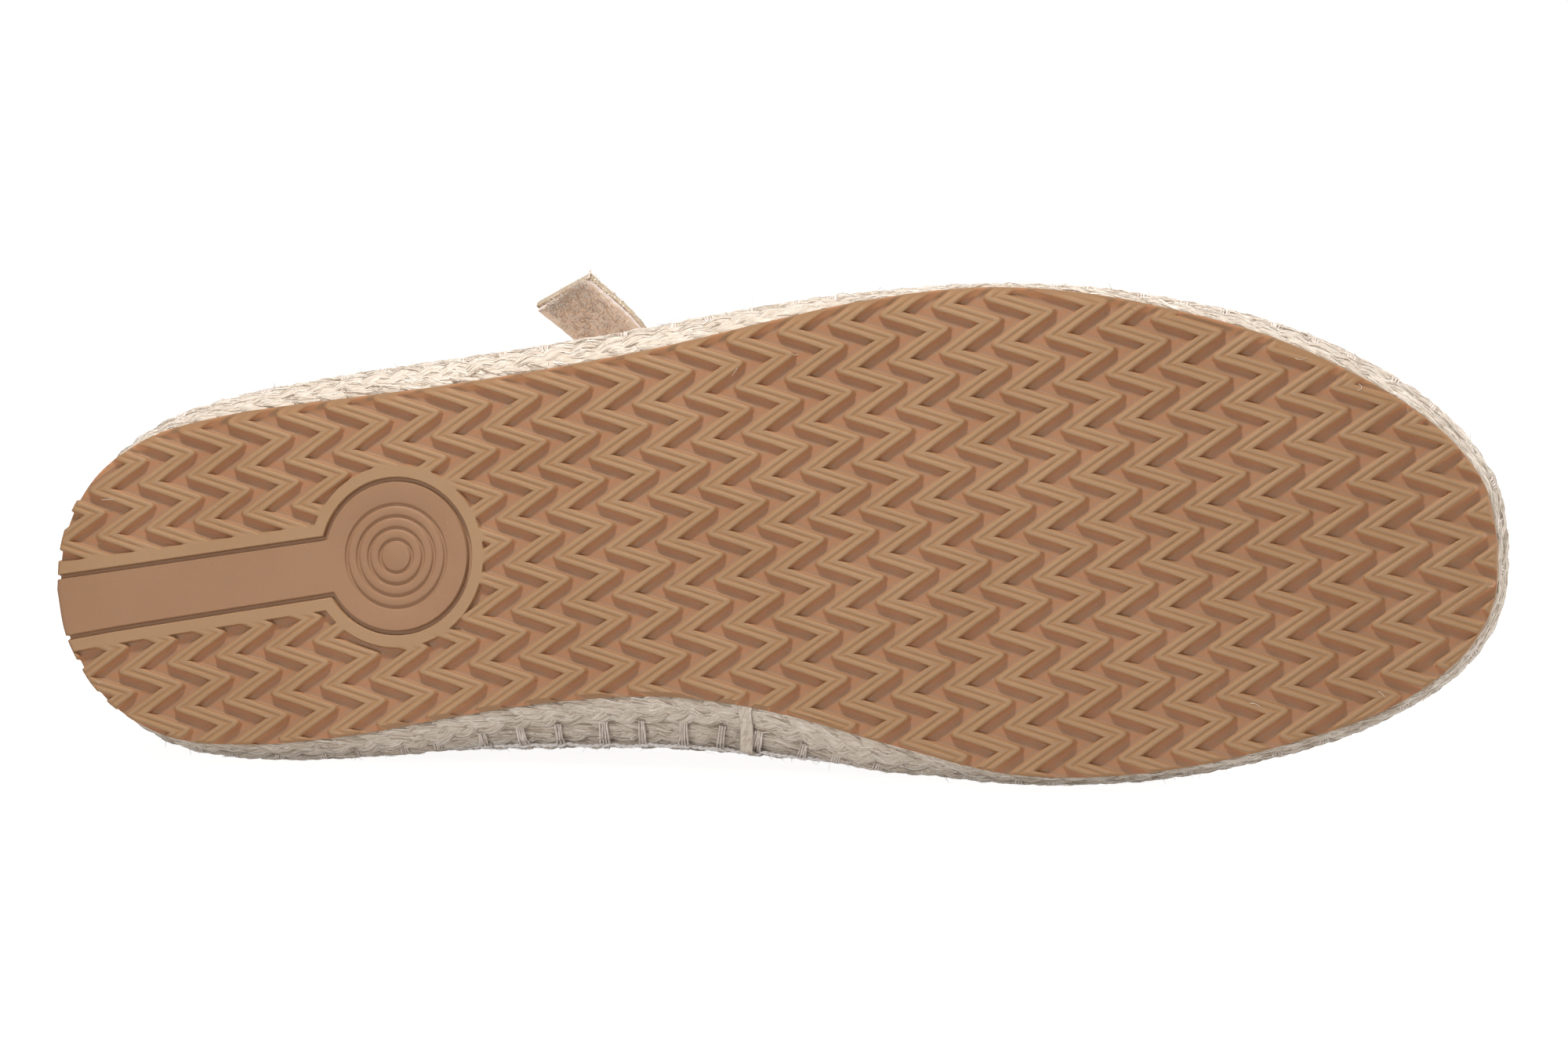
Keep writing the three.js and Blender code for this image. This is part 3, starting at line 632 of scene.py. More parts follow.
def build_outsole():
    pts, segs = [], []

    def polyline(p, keep, closed=False):
        base = len(pts)
        used = {}
        n = len(p)
        for i in range(n if closed else n - 1):
            j = (i + 1) % n
            if keep[i] or keep[j]:
                for k in (i, j):
                    if k not in used:
                        used[k] = len(pts)
                        pts.append(p[k])
                segs.append((used[i], used[j]))
        return base

    lines = [(0.0, 0)] + [(d * sgn, 1) for d in RIB_D[1:] for sgn in (-1, 1)]
    zig = []
    for n in range(-17, 17):
        for d, _ in lines:
            delta = d / PITCH
            wr, wl = float(apex_round(delta)), float(apex_round(-delta))
            q = []
            for centre, w in ((0.0, wl), (0.5, wr)):
                for a in ((0,) if w < 0.02 else (-w, -0.6 * w, -0.25 * w, 0.25 * w, 0.6 * w, w)):
                    q.append(centre + a)
                q += [centre + 0.18, centre + 0.32]
            v = (np.arange(-9, 9)[:, None] + LEFT_APEX + np.sort(q)[None, :]).ravel()
            u = n + RIB_AT + delta + RIB_SWING * swing(v, np.full(len(v), wr), np.full(len(v), wl))
            zig.append(LATTICE_O + np.stack([u, v], 1) @ LATTICE.T)
    counts = [len(z) for z in zig]
    every = np.vstack(zig)
    rough = (every[:, 0] > -6) & (every[:, 0] < 268) & (every[:, 1] > -48) & (every[:, 1] < 51)
    e = np.full(len(every), -99.0)
    e[rough], _ = edge_distance(every[rough])
    s = band_distance(every)
    keep = (e > -2.0) & (s > RIM_END - 1.0)
    at = 0
    for p, c in zip(zig, counts):
        k = keep[at:at + c]
        if k.any():
            polyline(p, k)
        at += c
    yes = np.ones(len(SOLE.xy), bool)
    for inset in (0.0, 0.18, 0.36, CHAMFER, ROUND_END, 1.25, FADE_END):
        polyline(SOLE.xy - SOLE.out * inset, yes, True)
    # band and pad: one line per level, up one side, round the pad and back
    for level in BAND_S + [1.45, RIM_END, RIM_END + 0.32, RIM_END + 1.1]:
        side = []
        for sgn in (-1, 1):
            t = np.linspace(-6, 64.4, 60)
            off = np.interp(t, [0, 53], BAND_HALF) + level
            p = BAND_A + t[:, None] * BAND_DIR + sgn * off[:, None] * BAND_SIDE
            out = np.linalg.norm(p - PAD_AT, axis=1) > PAD_R + level
            p = p[out]
            # where it meets the pad
            last = p[-1]
            half = np.interp(64.4 - PAD_R, [0, 53], BAND_HALF) + level
            reach = math.sqrt(max((PAD_R + level) ** 2 - half**2, 0))
            meet = PAD_AT - BAND_DIR * reach + sgn * half * BAND_SIDE
            if (meet - last) @ BAND_DIR > 0.05:
                p = np.vstack([p, meet])
            else:
                p[-1] = meet
            side.append((p, meet))
        a0 = math.atan2(*((side[0][1] - PAD_AT) @ np.stack([BAND_SIDE, BAND_DIR], 1)))
        a1 = math.atan2(*((side[1][1] - PAD_AT) @ np.stack([BAND_SIDE, BAND_DIR], 1)))
        if a1 < a0:
            a1 += 2 * math.pi
        ang = np.linspace(a0, a1, 90)[1:-1]
        arc = PAD_AT + (PAD_R + level) * (np.cos(ang)[:, None] * BAND_DIR + np.sin(ang)[:, None] * BAND_SIDE)
        whole = np.vstack([side[0][0], arc, side[1][0][::-1]])
        polyline(whole, np.ones(len(whole), bool))
    for r in PAD_RINGS:
        for off in RING_D:
            for rr in ({r - off, r + off}):
                a = np.linspace(0, 2 * np.pi, max(28, int(rr * 9)), endpoint=False)
                polyline(PAD_AT + rr * np.stack([np.cos(a), np.sin(a)], 1), np.ones(len(a), bool), True)
    out = delaunay_2d_cdt([Vector((float(p[0]), float(p[1]))) for p in pts], segs, [], 0, 2e-4, False)
    xy = np.array([tuple(v) for v in out[0]])
    tri = np.array([f for f in out[2] if len(f) == 3])
    mid = xy[tri].mean(1)
    inside, _ = edge_distance(mid)
    a, b, c = xy[tri[:, 0]], xy[tri[:, 1]], xy[tri[:, 2]]
    area = 0.5 * ((b[:, 0] - a[:, 0]) * (c[:, 1] - a[:, 1]) - (b[:, 1] - a[:, 1]) * (c[:, 0] - a[:, 0]))
    tri = tri[(inside > 0) & (np.abs(area) > 1e-7)]
    area = area[(inside > 0) & (np.abs(area) > 1e-7)]
    tri[area < 0] = tri[area < 0][:, ::-1]
    used = np.unique(tri)
    remap = np.full(len(xy), -1)
    remap[used] = np.arange(len(used))
    xy, tri = xy[used], remap[tri]
    depth, e, s = tread_depth(xy)
    z = ground(xy[:, 0]) + depth
    # 'low' is the mask of painted shade under each rib, read by the rubber's colour.
    low = painted_shade_zone(xy) * np.clip((s - RIM_END) / 0.5, 0, 1) * np.clip(depth / 0.3, 0, 1)
    flat = np.clip(1 - s / 0.3, 0, 1)
    _, near = edge_distance(xy)
    heel = np.clip((13 - SOLE.xy[near, 0]) / 10, 0, 1)
    reach = 0.72 - 0.42 * np.clip((depth - 0.35) / 0.6, 0, 1) * np.clip(1 - e / 0.9, 0, 1)
    grow = heel * reach * np.clip(1 - np.maximum(e, 0) / 14, 0, 1) ** 2
    xy = xy + SOLE.out[near] * grow[:, None]
    # boundary loop
    edges = {}
    for t in tri:
        for i in range(3):
            edges[(t[i], t[(i + 1) % 3])] = True
    after = {i: j for (i, j) in edges if (j, i) not in edges}
    start = next(iter(after))
    loop, k = [start], after[start]
    while k != start and len(loop) < len(after) + 1:
        loop.append(k)
        k = after[k]
    loop = np.array(loop)
    edge_xy = xy[loop]
    _, near = edge_distance(edge_xy)
    n0, nl = len(xy), len(loop)
    rings, deep = [np.column_stack([xy, z])], [depth]
    for h, o, dd in ((0.62, 0.05, 0.0), (1.5, 0.08, 0.0), (RUBBER - 0.25, 0.02, 0.0), (RUBBER, -0.2, 0.0)):
        p = edge_xy + SOLE.out[near] * o
        base = np.maximum(z[loop] - ground(edge_xy[:, 0]) + 0.03, h) if h < RUBBER - 0.3 else np.full(nl, h)
        rings.append(np.column_stack([p, ground(p[:, 0]) + base]))
        deep.append(np.full(nl, dd))
    pts3 = np.vstack(rings)
    faces = tri[:, ::-1].tolist()
    prev = loop
    for j in range(4):
        cur = n0 + j * nl + np.arange(nl)
        faces += np.stack([prev, np.roll(prev, -1), np.roll(cur, -1), cur], 1).tolist()
        prev = cur
    cap = tessellate_polygon([[Vector((float(p[0]), float(p[1]), 0.0)) for p in pts3[prev]]])
    for t in cap:
        q = [int(prev[i]) for i in t]
        p = pts3[q]
        up = (p[1][0] - p[0][0]) * (p[2][1] - p[0][1]) - (p[1][1] - p[0][1]) * (p[2][0] - p[0][0])
        if abs(up) > 1e-9:
            faces.append(q if up > 0 else q[::-1])
    rest = np.zeros(len(pts3) - n0)
    ob = make("outsole_tread", pts3, faces, RUBBER_MAT, 33, {
        "deep": np.concatenate(deep), "low": np.concatenate([low, rest]), "flat": np.concatenate([flat, rest])})
    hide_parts("outsole")
    return ob


build_outsole()

# ------------------------------------------------------------------ the rope midsole
ROPE = Ring(320)
N_ROPE = len(ROPE.xy)
TURN = ROPE.length
PLAIT = TURN / 40.0           # one full turn of a strand in the plait


def face_line(k):
    """Outer face of rope row k: offset and height of its low and high edge."""
    if k == 0:
        return (np.full(N_ROPE, 0.5), np.full(N_ROPE, MIDSOLE_BOTTOM + 0.1), ROPE.row(0) + ROPE_BULGE,
                np.full(N_ROPE, MIDSOLE_BOTTOM + 4.85))
    base = MIDSOLE_BOTTOM + k * ROPE_PITCH
    out = ROPE.row(k) + ROPE_BULGE + 0.1
    lower = np.minimum(ROPE.row(k - 1) + ROPE_BULGE + 0.3, out)
    return lower, np.full(N_ROPE, base + 0.05), out, np.full(N_ROPE, base + ROPE_PITCH - 0.4)


def strands(k):
    """Centre lines and frames of the three strands of row k."""
    ol, hl, oh, hh = face_line(k)
    low, high = ROPE.at(ol, hl), ROPE.at(oh, hh)
    up = high - low
    reach = np.linalg.norm(up, axis=1)
    up = unit(up)
    tan = np.column_stack([ROPE.t, np.zeros(N_ROPE)])
    out = unit(np.cross(tan, up))
    flip = (out[:, :2] * ROPE.out).sum(1) < 0
    out[flip] *= -1
    half = reach / 2 + 0.45
    centre = (low + high) / 2 - out * 1.08
    s = ROPE.s
    drift = wave_noise(s, TURN, (3, 5, 9, 14), 0.35, 40 + k)
    got = []
    for j in range(3):
        ph = 2 * np.pi * (s / PLAIT + j / 3) + drift + 1.3 * k
        wob = 1 + wave_noise(s, TURN, (31, 57, 90, 140), 0.05, 100 + 7 * k + j)
        ra = 0.62 * half * wob
        rb = 0.86 * (1 + wave_noise(s, TURN, (37, 66, 101, 170), 0.06, 200 + 7 * k + j))
        c = centre + up * (0.38 * half * np.sin(ph))[:, None] + out * (0.27 * np.sin(2 * ph))[:, None]
        c += out * wave_noise(s, TURN, (25, 44, 71), 0.07, 300 + 7 * k + j)[:, None]
        got.append((c, up, out, ra, rb))
    return got


STRANDS = [strands(k) for k in range(3)]
SIDES = 14


def build_rope():
    bag = Bag("along", "around", "tone", "rim")
    th = np.arange(SIDES) / SIDES * 2 * np.pi - np.pi / 2     # starts at the hidden inner side
    for k in range(3):
        for j, (c, up, out, ra, rb) in enumerate(STRANDS[k]):
            s = ROPE.s
            # each strand is a loose bundle of yarns that wind round it
            yarn = 1 + 0.050 * np.sin(5 * th[None, :] + 2 * np.pi * np.round(TURN / 19) * s[:, None] / TURN + j) \
                + 0.035 * rng.normal(size=(N_ROPE, SIDES))
            cx, sx = (np.sign(f(th)) * np.abs(f(th)) ** 0.8 for f in (np.cos, np.sin))
            p = c[:, None] + (ra[:, None] * yarn * cx)[..., None] * up[:, None] \
                + (rb[:, None] * yarn * sx)[..., None] * out[:, None]
            faces = grid_faces(N_ROPE, SIDES, close_rows=True, flip=False)
            # 'rim' is 1 on the strand's hidden inner side and rises towards its edges; the jute material paints shade
            # there.
            bag.add(p.reshape(-1, 3), faces, along=np.repeat(s, SIDES),
                    around=np.tile((th + np.pi / 2) * 1.35, N_ROPE), tone=(k * 3 + j) / 9 + 0.05,
                    rim=np.clip(np.tile(np.where(np.sin(th) < -0.1, 1.0, np.abs(np.cos(th)) ** 3), N_ROPE), 0, 1))
    ob = bag.make("rope_plaits", JUTE_MAT)
    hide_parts("midsole")
    # dark core behind the strands, seen only in the gaps: painted shade for those gaps
    inner = []
    for k in range(3):
        ol, hl, oh, hh = face_line(k)
        low, high = ROPE.at(ol, hl), ROPE.at(oh, hh)
        up = unit(high - low)
        out = np.cross(np.column_stack([ROPE.t, np.zeros(N_ROPE)]), up)
        out[(out[:, :2] * ROPE.out).sum(1) < 0] *= -1
        inner += [low - out * (1.38 if k == 0 else 0.75) + (up * 0.3 if k == 0 else 0.0), (low + high) / 2 - out * 1.38,
                  high - out * (1.38 if k == 2 else 0.75)]
    floor_in = ROPE.at(np.full(N_ROPE, -1.6), MIDSOLE_BOTTOM + 0.1)
    roof = ROPE.at(ROPE.row(2) + 0.6, MIDSOLE_BOTTOM + 16.0)
    rings = [floor_in] + inner + [roof]
    faces = grid_faces(len(rings), N_ROPE).tolist()
    faces += rung_cap(N_ROPE, 0, False) + rung_cap(N_ROPE, (len(rings) - 1) * N_ROPE, True)
    n = len(rings)
    ob = make("rope_core_painted_shade", np.vstack(rings), faces, ROPE_SHADE_CORE_MAT, 40,
              {"along": np.tile(ROPE.s, n), "around": np.repeat(np.arange(n) * 2.0, N_ROPE), "tone": np.full(n * N_ROPE, 0.4)})
    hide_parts("midsole")


build_rope()


def loop_at(array, s):
    """Value of a per-station array at loop length s."""
    q = np.mod(s, TURN) / TURN * N_ROPE
    i = np.floor(q).astype(int) % N_ROPE
    w = q - np.floor(q)
    if array.ndim == 2:
        w = w[:, None]
    return array[i] * (1 - w) + array[(i + 1) % N_ROPE] * w


def ribbon(path, normal, width):
    """A flat fibre of five to eight points, facing out."""
    tan = unit(np.gradient(path, axis=0))
    side = unit(np.cross(tan, normal))
    n = len(path)
    w = (width * np.sin(np.linspace(0.25, math.pi - 0.25, n)))[:, None] / 2
    ridge = path + normal * (width * 0.35)
    pts = np.stack([path - side * w, ridge, path + side * w], 1).reshape(-1, 3)
    i = np.arange(n - 1) * 3
    f = np.concatenate([np.stack([i, i + 3, i + 4, i + 1], 1), np.stack([i + 1, i + 4, i + 5, i + 2], 1)])
    along = np.repeat(np.linspace(0, 1, n) * 5, 3)
    return pts, f, along


def build_fibres():
    lying, hairs = Bag("along", "around", "tone"), Bag("along", "around", "tone")
    count = 9500
    for _ in range(count):
        k, j = int(rng.integers(3)), int(rng.integers(3))
        c, up, out, ra, rb = STRANDS[k][j]
        n = 6
        length = rng.uniform(3.0, 9.0)
        s = rng.uniform(0, TURN) + np.linspace(0, length, n)
        th = rng.uniform(0.0, np.pi) + np.linspace(0, rng.normal() * 0.45, n)
        if k < 2:
            th = th - 0.25
        lift = 0.02 + 0.05 * rng.random() + 0.10 * np.sin(np.linspace(0, np.pi, n)) * rng.random() ** 2
        cs, us, os = loop_at(c, s), loop_at(up, s), loop_at(out, s)
        a, b = loop_at(ra, s), loop_at(rb, s)
        nrm = unit(us * np.cos(th)[:, None] / a[:, None] + os * np.sin(th)[:, None] / b[:, None])
        p = cs + us * (a * np.sign(np.cos(th)) * np.abs(np.cos(th)) ** 0.8)[:, None] \
            + os * (b * np.sign(np.sin(th)) * np.abs(np.sin(th)) ** 0.8)[:, None] + nrm * lift[:, None]
        if not above_floor(p):
            continue
        pts, f, al = ribbon(p, nrm, rng.uniform(0.10, 0.24))
        lying.add(pts, f, along=al, around=0.5, tone=rng.random())
    ob = lying.make("rope_fibres", FIBRE_MAT)
    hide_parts("midsole")
    count = 1700
    for _ in range(count):
        k, j = int(rng.integers(3)), int(rng.integers(3))
        c, up, out, ra, rb = STRANDS[k][j]
        s = np.array([rng.uniform(0, TURN)])
        th = rng.uniform(0.1, np.pi - 0.1) - (0.3 if k == 0 else 0.0)
        cs, us, os = loop_at(c, s)[0], loop_at(up, s)[0], loop_at(out, s)[0]
        a, b = float(loop_at(ra, s)[0]), float(loop_at(rb, s)[0])
        nrm = unit(us * math.cos(th) / a + os * math.sin(th) / b)
        p0 = cs + us * a * math.cos(th) + os * b * math.sin(th) - nrm * 0.15
        tan = np.array([*loop_at(ROPE.t, s)[0], 0.0])
        length = rng.uniform(0.6, 1.7) if rng.random() < 0.90 else rng.uniform(1.6, 3.0)
        d = unit(nrm * rng.uniform(0.25, 0.9) + tan * rng.normal() * 0.9 + us * rng.normal() * 0.4)
        bend = rng.normal(size=3) * 0.5 - nrm * 0.35
        t = np.linspace(0, 1, 6)[:, None]
        path = p0 + d * t * length + bend * t * t * length * 0.55
        if not above_floor(path):
            continue
        pts, f, al, ar = tube(path, np.linspace(0.050, 0.020, 6) * rng.uniform(0.7, 1.3), 3)
        hairs.add(pts, [x for x in f if len(x) == 4], along=al, around=ar, tone=rng.random())
    ob = hairs.make("rope_hairs", FIBRE_MAT)
    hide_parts("midsole")


build_fibres()


def side_path(s, stops):
    """A path up the rope's side at loop length s; stops are (row or flare key, add, height)."""
    keys = {0: loop_at(ROPE.row(0), s), 1: loop_at(ROPE.row(1), s), 2: loop_at(ROPE.row(2), s)}
    xy, out = loop_at(ROPE.xy, s), loop_at(ROPE.out, s)
    pts = []
    for key, add, h in stops:
        o = (keys[key] if key in keys else 0.0) + add
        if key == 0 and add > 3.5:
            o = np.minimum(np.maximum(o, (keys[0] + keys[1]) / 2 + add - 0.35), keys[1] + 3.3)
        p = xy + out * np.broadcast_to(o, len(s))[:, None]
        pts.append(np.column_stack([p, ground(p[:, 0]) + h]))
    return np.stack(pts, 1)       # one path per s


def resample(points, n):
    return spaced(catmull(points, 8), n)


def build_stitches():
    bag = Bag("along", "around", "tone")
    bars = int(round(TURN / 7.8))
    z0 = MIDSOLE_BOTTOM
    at = np.arange(bars) * TURN / bars + rng.uniform(-0.9, 0.9, bars)
    stops = [(0, 2.3, z0 + 4.3), (0, 3.15, z0 + 5.2), (0, 3.9, z0 + 6.3), (1, 2.5, z0 + 7.8), (1, 3.02, z0 + 8.9), (1, 3.26, z0 + 10.0),
             (1, 3.10, z0 + 10.9), (2, 2.5, z0 + 11.9), (2, 2.85, z0 + 13.0), (2, 2.95, z0 + 14.4), (2, 2.7, z0 + 15.6),
             (2, 1.9, z0 + 17.2)]
    heights = np.array([t[2] for t in stops]) - z0

    def leaning(where):
        """Share by which the rope leans out past its lowest row there."""
        q = np.full(1, where)
        return float(np.clip((loop_at(ROPE.row(1), q)[0] - loop_at(ROPE.row(0), q)[0] - 0.4) / 2.0, 0, 1))

    def skew(where, h):
        """Bars slant a little with height, against the shoe's length."""
        medial = (where % TURN) > ROPE.s[ROPE.side == 1][0]
        return (0.23 if medial else -0.23) * (h - 8.0)

    spread = np.array([0.75, 0.8, 0.9, 1.0, 1.05, 1.0, 0.8, 0.7, 0.8, 0.8, 0.7, 0.6])
    for i in range(bars):
        lean = rng.normal() * 0.35
        threads = 4 if rng.random() < 0.7 else 3
        wide = rng.uniform(0.85, 1.1)
        for j in range(threads):
            off = (j - (threads - 1) / 2) * 0.58 * wide
            levels = np.arange(len(stops))
            q = at[i] + off * spread + lean * levels / 8 + skew(at[i], heights) + rng.normal(size=len(stops)) * 0.05
            paths = side_path(q, stops)
            p = np.array([paths[m, m] for m in range(len(stops))])
            p[:, :2] += loop_at(ROPE.out, q) * (rng.normal() * 0.04 - 0.40 * (1 - leaning(at[i])))
            pts, f, al, ar = tube(resample(p, 20), 0.21 + rng.normal() * 0.02, 6)
            bag.add(pts, [x for x in f if len(x) == 4], along=al, around=ar, tone=rng.random())
    # twine that links the bars, slack between them
    grid, hang = [], []
    for i in range(bars):
        a0, a1 = at[i] + 0.8, (at[i + 1] if i + 1 < bars else at[0] + TURN) - 0.8
        amount = rng.uniform(0.35, 0.95)
        for t in np.linspace(0, 1, 9):
            grid.append(a0 + (a1 - a0) * t)
            hang.append(amount * math.sin(math.pi * t) ** 0.7)
    grid, hang = np.array(grid), np.array(hang)
    s = np.linspace(at[0], at[0] + TURN, 1500, endpoint=False)
    slack = np.interp(s, np.concatenate([grid, [grid[0] + TURN]]), np.concatenate([hang, [hang[0]]]))
    lean_out = np.clip((loop_at(ROPE.row(1), s) - loop_at(ROPE.row(0), s) - 0.4) / 2.0, 0, 1)
    slack = slack * lean_out
    twine = Bag("along", "around", "tone")
    for q in range(2):
        ph = 2 * np.pi * np.round(TURN / 2.6) * s / TURN + q * np.pi
        o = loop_at(ROPE.row(1), s) + ROPE_BULGE - 0.60 + 0.80 * lean_out + 0.19 * np.cos(ph) + 0.5 * slack
        h = z0 + 10.3 + 0.19 * np.sin(ph) + 0.2 * slack
        p = loop_at(ROPE.xy, s) + loop_at(ROPE.out, s) * o[:, None]
        path = np.column_stack([p, ground(p[:, 0]) + h])
        pts, f, al, ar = tube(path, 0.22, 6, closed=True)
        twine.add(pts, f, along=al, around=ar, tone=0.75 + 0.2 * q)
    # a loose knot where each bar meets the twine
    for i in range(bars):
        q = np.full(1, at[i] + skew(at[i], 10.2))
        lean = leaning(at[i])
        p = side_path(q, [(1, ROPE_BULGE - 0.60 + 0.95 * lean, z0 + 10.2)])[0, 0]
        tan, out = np.array([*loop_at(ROPE.t, q)[0], 0.0]), np.array([*loop_at(ROPE.out, q)[0], 0.0])
        for turn in range(2):
            ang = np.linspace(0, 2 * np.pi * 1.2, 12) + turn * 2.0
            path = p + tan * ((0.85 - 0.25 * turn) * np.cos(ang))[:, None] \
                + np.array([0, 0, 1.0]) * (0.42 * np.sin(ang))[:, None] + out * (0.10 + 0.16 * np.sin(ang * 1.5 + i))[:, None]
            pts, f, al, ar = tube(path, 0.23, 5)
            twine.add(pts, [x for x in f if len(x) == 4], along=al, around=ar, tone=rng.uniform(0.5, 1.0))
    ob = twine.make("rope_twine", TWINE_MAT)
    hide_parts("midsole")
    ob = bag.make("rope_stitches", THREAD_MAT)
    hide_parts("midsole")
    # the rope's end is bound down by a flat wrap on the medial side
    wrap = Bag("along", "around", "tone")
    s_wrap = float(np.interp(-128.0, -ROPE.xy[ROPE.side == 1][:, 0], ROPE.s[ROPE.side == 1]))
    wstops = [(None, 0.1, z0 + 0.1), (None, 1.0, z0 + 0.45), (0, 1.6, z0 + 2.9), (0, 3.25, z0 + 4.5), (1, 3.0, z0 + 6.2),
              (1, 3.4, z0 + 8.2), (1, 3.5, z0 + 10.2), (2, 2.6, z0 + 11.4), (2, 2.8, z0 + 12.8), (2, 2.8, z0 + 14.5),
              (2, 2.2, z0 + 16.6)]
    for j in range(5):
        s = s_wrap + (j - 2) * 0.46 + rng.normal(size=len(wstops)) * 0.04
        paths = side_path(s, wstops)
        p = np.array([paths[m, m] for m in range(len(wstops))])
        pts, f, al, ar = tube(resample(p, 40), 0.34, 8, flat=0.75)
        wrap.add(pts, [x for x in f if len(x) == 4], along=al, around=ar, tone=rng.random())
    ob = wrap.make("rope_end_wrap", JUTE_MAT)
    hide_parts("midsole")


build_stitches()

# ------------------------------------------------------------------ the upper
SHELL = Ring(230)
LEVELS = 44


def upper_rings():
    o = SHELL.flare - UPPER_SET
    foot = SHELL.at(o, 0)
    foot[:, 2] = ground(foot[:, 0]) + FOOTBED
    lat = SHELL.side == 0

    def edge(col, level_ends):
        return np.where(lat, smooth(TOPLINE[0][:, 0], TOPLINE[0][:, col], SHELL.f, level_ends),
                        smooth(TOPLINE[1][:, 0], TOPLINE[1][:, col], SHELL.f, level_ends))

    top = np.column_stack([edge(1, True), edge(2, False), edge(3, True)])
    away = foot - top
    away[:, 2] = 0
    length = np.linalg.norm(away, axis=1)
    out3 = np.column_stack([SHELL.out, np.zeros(len(SHELL.xy))])
    way = unit(away)
    way = np.where((length > 12)[:, None], way, unit(0.5 * way + 0.5 * out3))
    ws = lambda c: smooth(WALL_SHAPE[:, 0], WALL_SHAPE[:, c], SHELL.f, True)
    bulge = np.where(lat, ws(1), ws(2))
    low = foot + out3 * bulge[:, None]
    low[:, 2] += ws(3)
    high = top + way * ws(4)[:, None]
    high[:, 2] -= ws(5)
    rings = []
    for t in np.linspace(0, 1, LEVELS + 1):
        u = 1 - t
        rings.append(u**3 * foot + 3 * u * u * t * low + 3 * u * t * t * high + t**3 * top)
    return np.array(rings)


def build_upper():
    outer = upper_rings()
    along = unit(np.roll(outer, -1, 1) - np.roll(outer, 1, 1))
    up = np.gradient(outer, axis=0)
    up[0, :, :2] = 0
    out = unit(np.cross(along, up))
    ref = np.column_stack([SHELL.out, np.full(len(SHELL.xy), 0.6)])
    out[(out * ref).sum(2) < 0] *= -1
    # light folds and unevenness of soft leather, none of it near the rope
    s = SHELL.s
    grow = np.sin(np.linspace(0, math.pi, LEVELS + 1)) ** 0.8
    soft = np.zeros(outer.shape[:2])
    for k in range(LEVELS + 1):
        soft[k] = wave_noise(s + 2.0 * k, SHELL.length, (5, 9, 13, 21), 0.16, 900) * grow[k]
    for x0, y0, tilt, amount in ((186.0, 3.0, 0.10, 0.45), (194.0, 5.0, -0.05, 0.32), (178.0, 0.0, 0.16, 0.25)):
        d = outer[..., 0] - x0 - tilt * (outer[..., 1] - y0)
        high = np.clip((outer[..., 2] - 30) / 12, 0, 1)
        soft -= amount * np.exp(-(d / 1.6) ** 2) * high - 0.4 * amount * np.exp(-((np.abs(d) - 3.2) / 2.0) ** 2) * high
    outer = outer + out * soft[..., None]
    inner = outer - out * WALL
    inner[0, :, 2] = outer[0, :, 2]
    n = len(SHELL.xy)
    rim = []
    top, inn = outer[-1], inner[-1]
    mid, half = (top + inn) / 2, (top - inn) / 2
    rise = unit(np.gradient(outer, axis=0)[-1])
    for a in (35, 70, 110, 145):
        a = math.radians(a)
        rim.append(mid + half * math.cos(a) + rise * math.sin(a) * WALL * 0.42)
    rings = np.concatenate([outer, np.array(rim), inner[::-1]])
    faces = grid_faces(len(rings), n, close_rows=True)
    kinds = np.zeros(len(rings), int)
    kinds[LEVELS + 3:] = 1
    face_mat = np.repeat(kinds, n)
    ob = make("upper_suede", rings.reshape(-1, 3), faces, [SUEDE_MAT, LINING_MAT], 50, face_mat=face_mat)
    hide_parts("upper")
    # two rows of stitches under the topline
    bag = Bag("along", "around", "tone")
    level = 1 - 2.4 / 34
    for lv in (1 - 0.075, 1 - 0.15):
        k = lv * LEVELS
        i = int(k)
        line = outer[i] * (1 - (k - i)) + outer[i + 1] * (k - i) + out[i] * 0.16
        path = spaced(np.vstack([line, line[:1]]), 1000)
        d = np.concatenate([[0], np.cumsum(np.linalg.norm(np.diff(path, axis=0), axis=1))])
        for a in np.arange(0, d[-1] - 2.2, 2.9):
            t = a + np.linspace(0, 2.1, 5)
            p = np.stack([np.interp(t, d, path[:, c]) for c in range(3)], 1)
            idx = int(a / d[-1] * n) % n
            p -= out[i][idx] * (0.22 * np.array([1, 0.15, 0, 0.15, 1]))[:, None]
            pts, f, al, ar = tube(p, 0.2, 5)
            bag.add(pts, [x for x in f if len(x) == 4], along=al, around=ar, tone=rng.random())
    ob = bag.make("upper_stitches", THREAD_MAT)
    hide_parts("upper")
    # strip of suede over the seam at the back of the heel
    strip = []
    idx = np.r_[n - 9:n, 0:10]
    for r, q in zip(outer[2:-1], out[2:-1]):
        strip.append(r[idx] + q[idx] * (0.75 * np.clip(np.sin(np.linspace(0.05, math.pi - 0.05, len(idx))) * 3.5, 0, 1))[:, None])
    strip = np.array(strip)
    back = np.array([r[idx] - q[idx] * 0.1 for r, q in zip(outer[2:-1], out[2:-1])])
    m, c = strip.shape[:2]
    pts = np.vstack([strip.reshape(-1, 3), back.reshape(-1, 3)])
    f = grid_faces(m, c, close_cols=False).tolist() + grid_faces(m, c, start=m * c, close_cols=False, flip=True).tolist()
    for a in range(m - 1):
        for col, fl in ((0, False), (c - 1, True)):
            q4 = [a * c + col, (a + 1) * c + col, m * c + (a + 1) * c + col, m * c + a * c + col]
            f.append(q4[::-1] if fl else q4)
    for a in range(c - 1):
        for row, fl in ((0, True), (m - 1, False)):
            q4 = [row * c + a, row * c + a + 1, m * c + row * c + a + 1, m * c + row * c + a]
            f.append(q4[::-1] if not fl else q4)
    ob = make("heel_strip", pts, f, SUEDE_MAT, 40)
    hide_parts("upper")


build_upper()


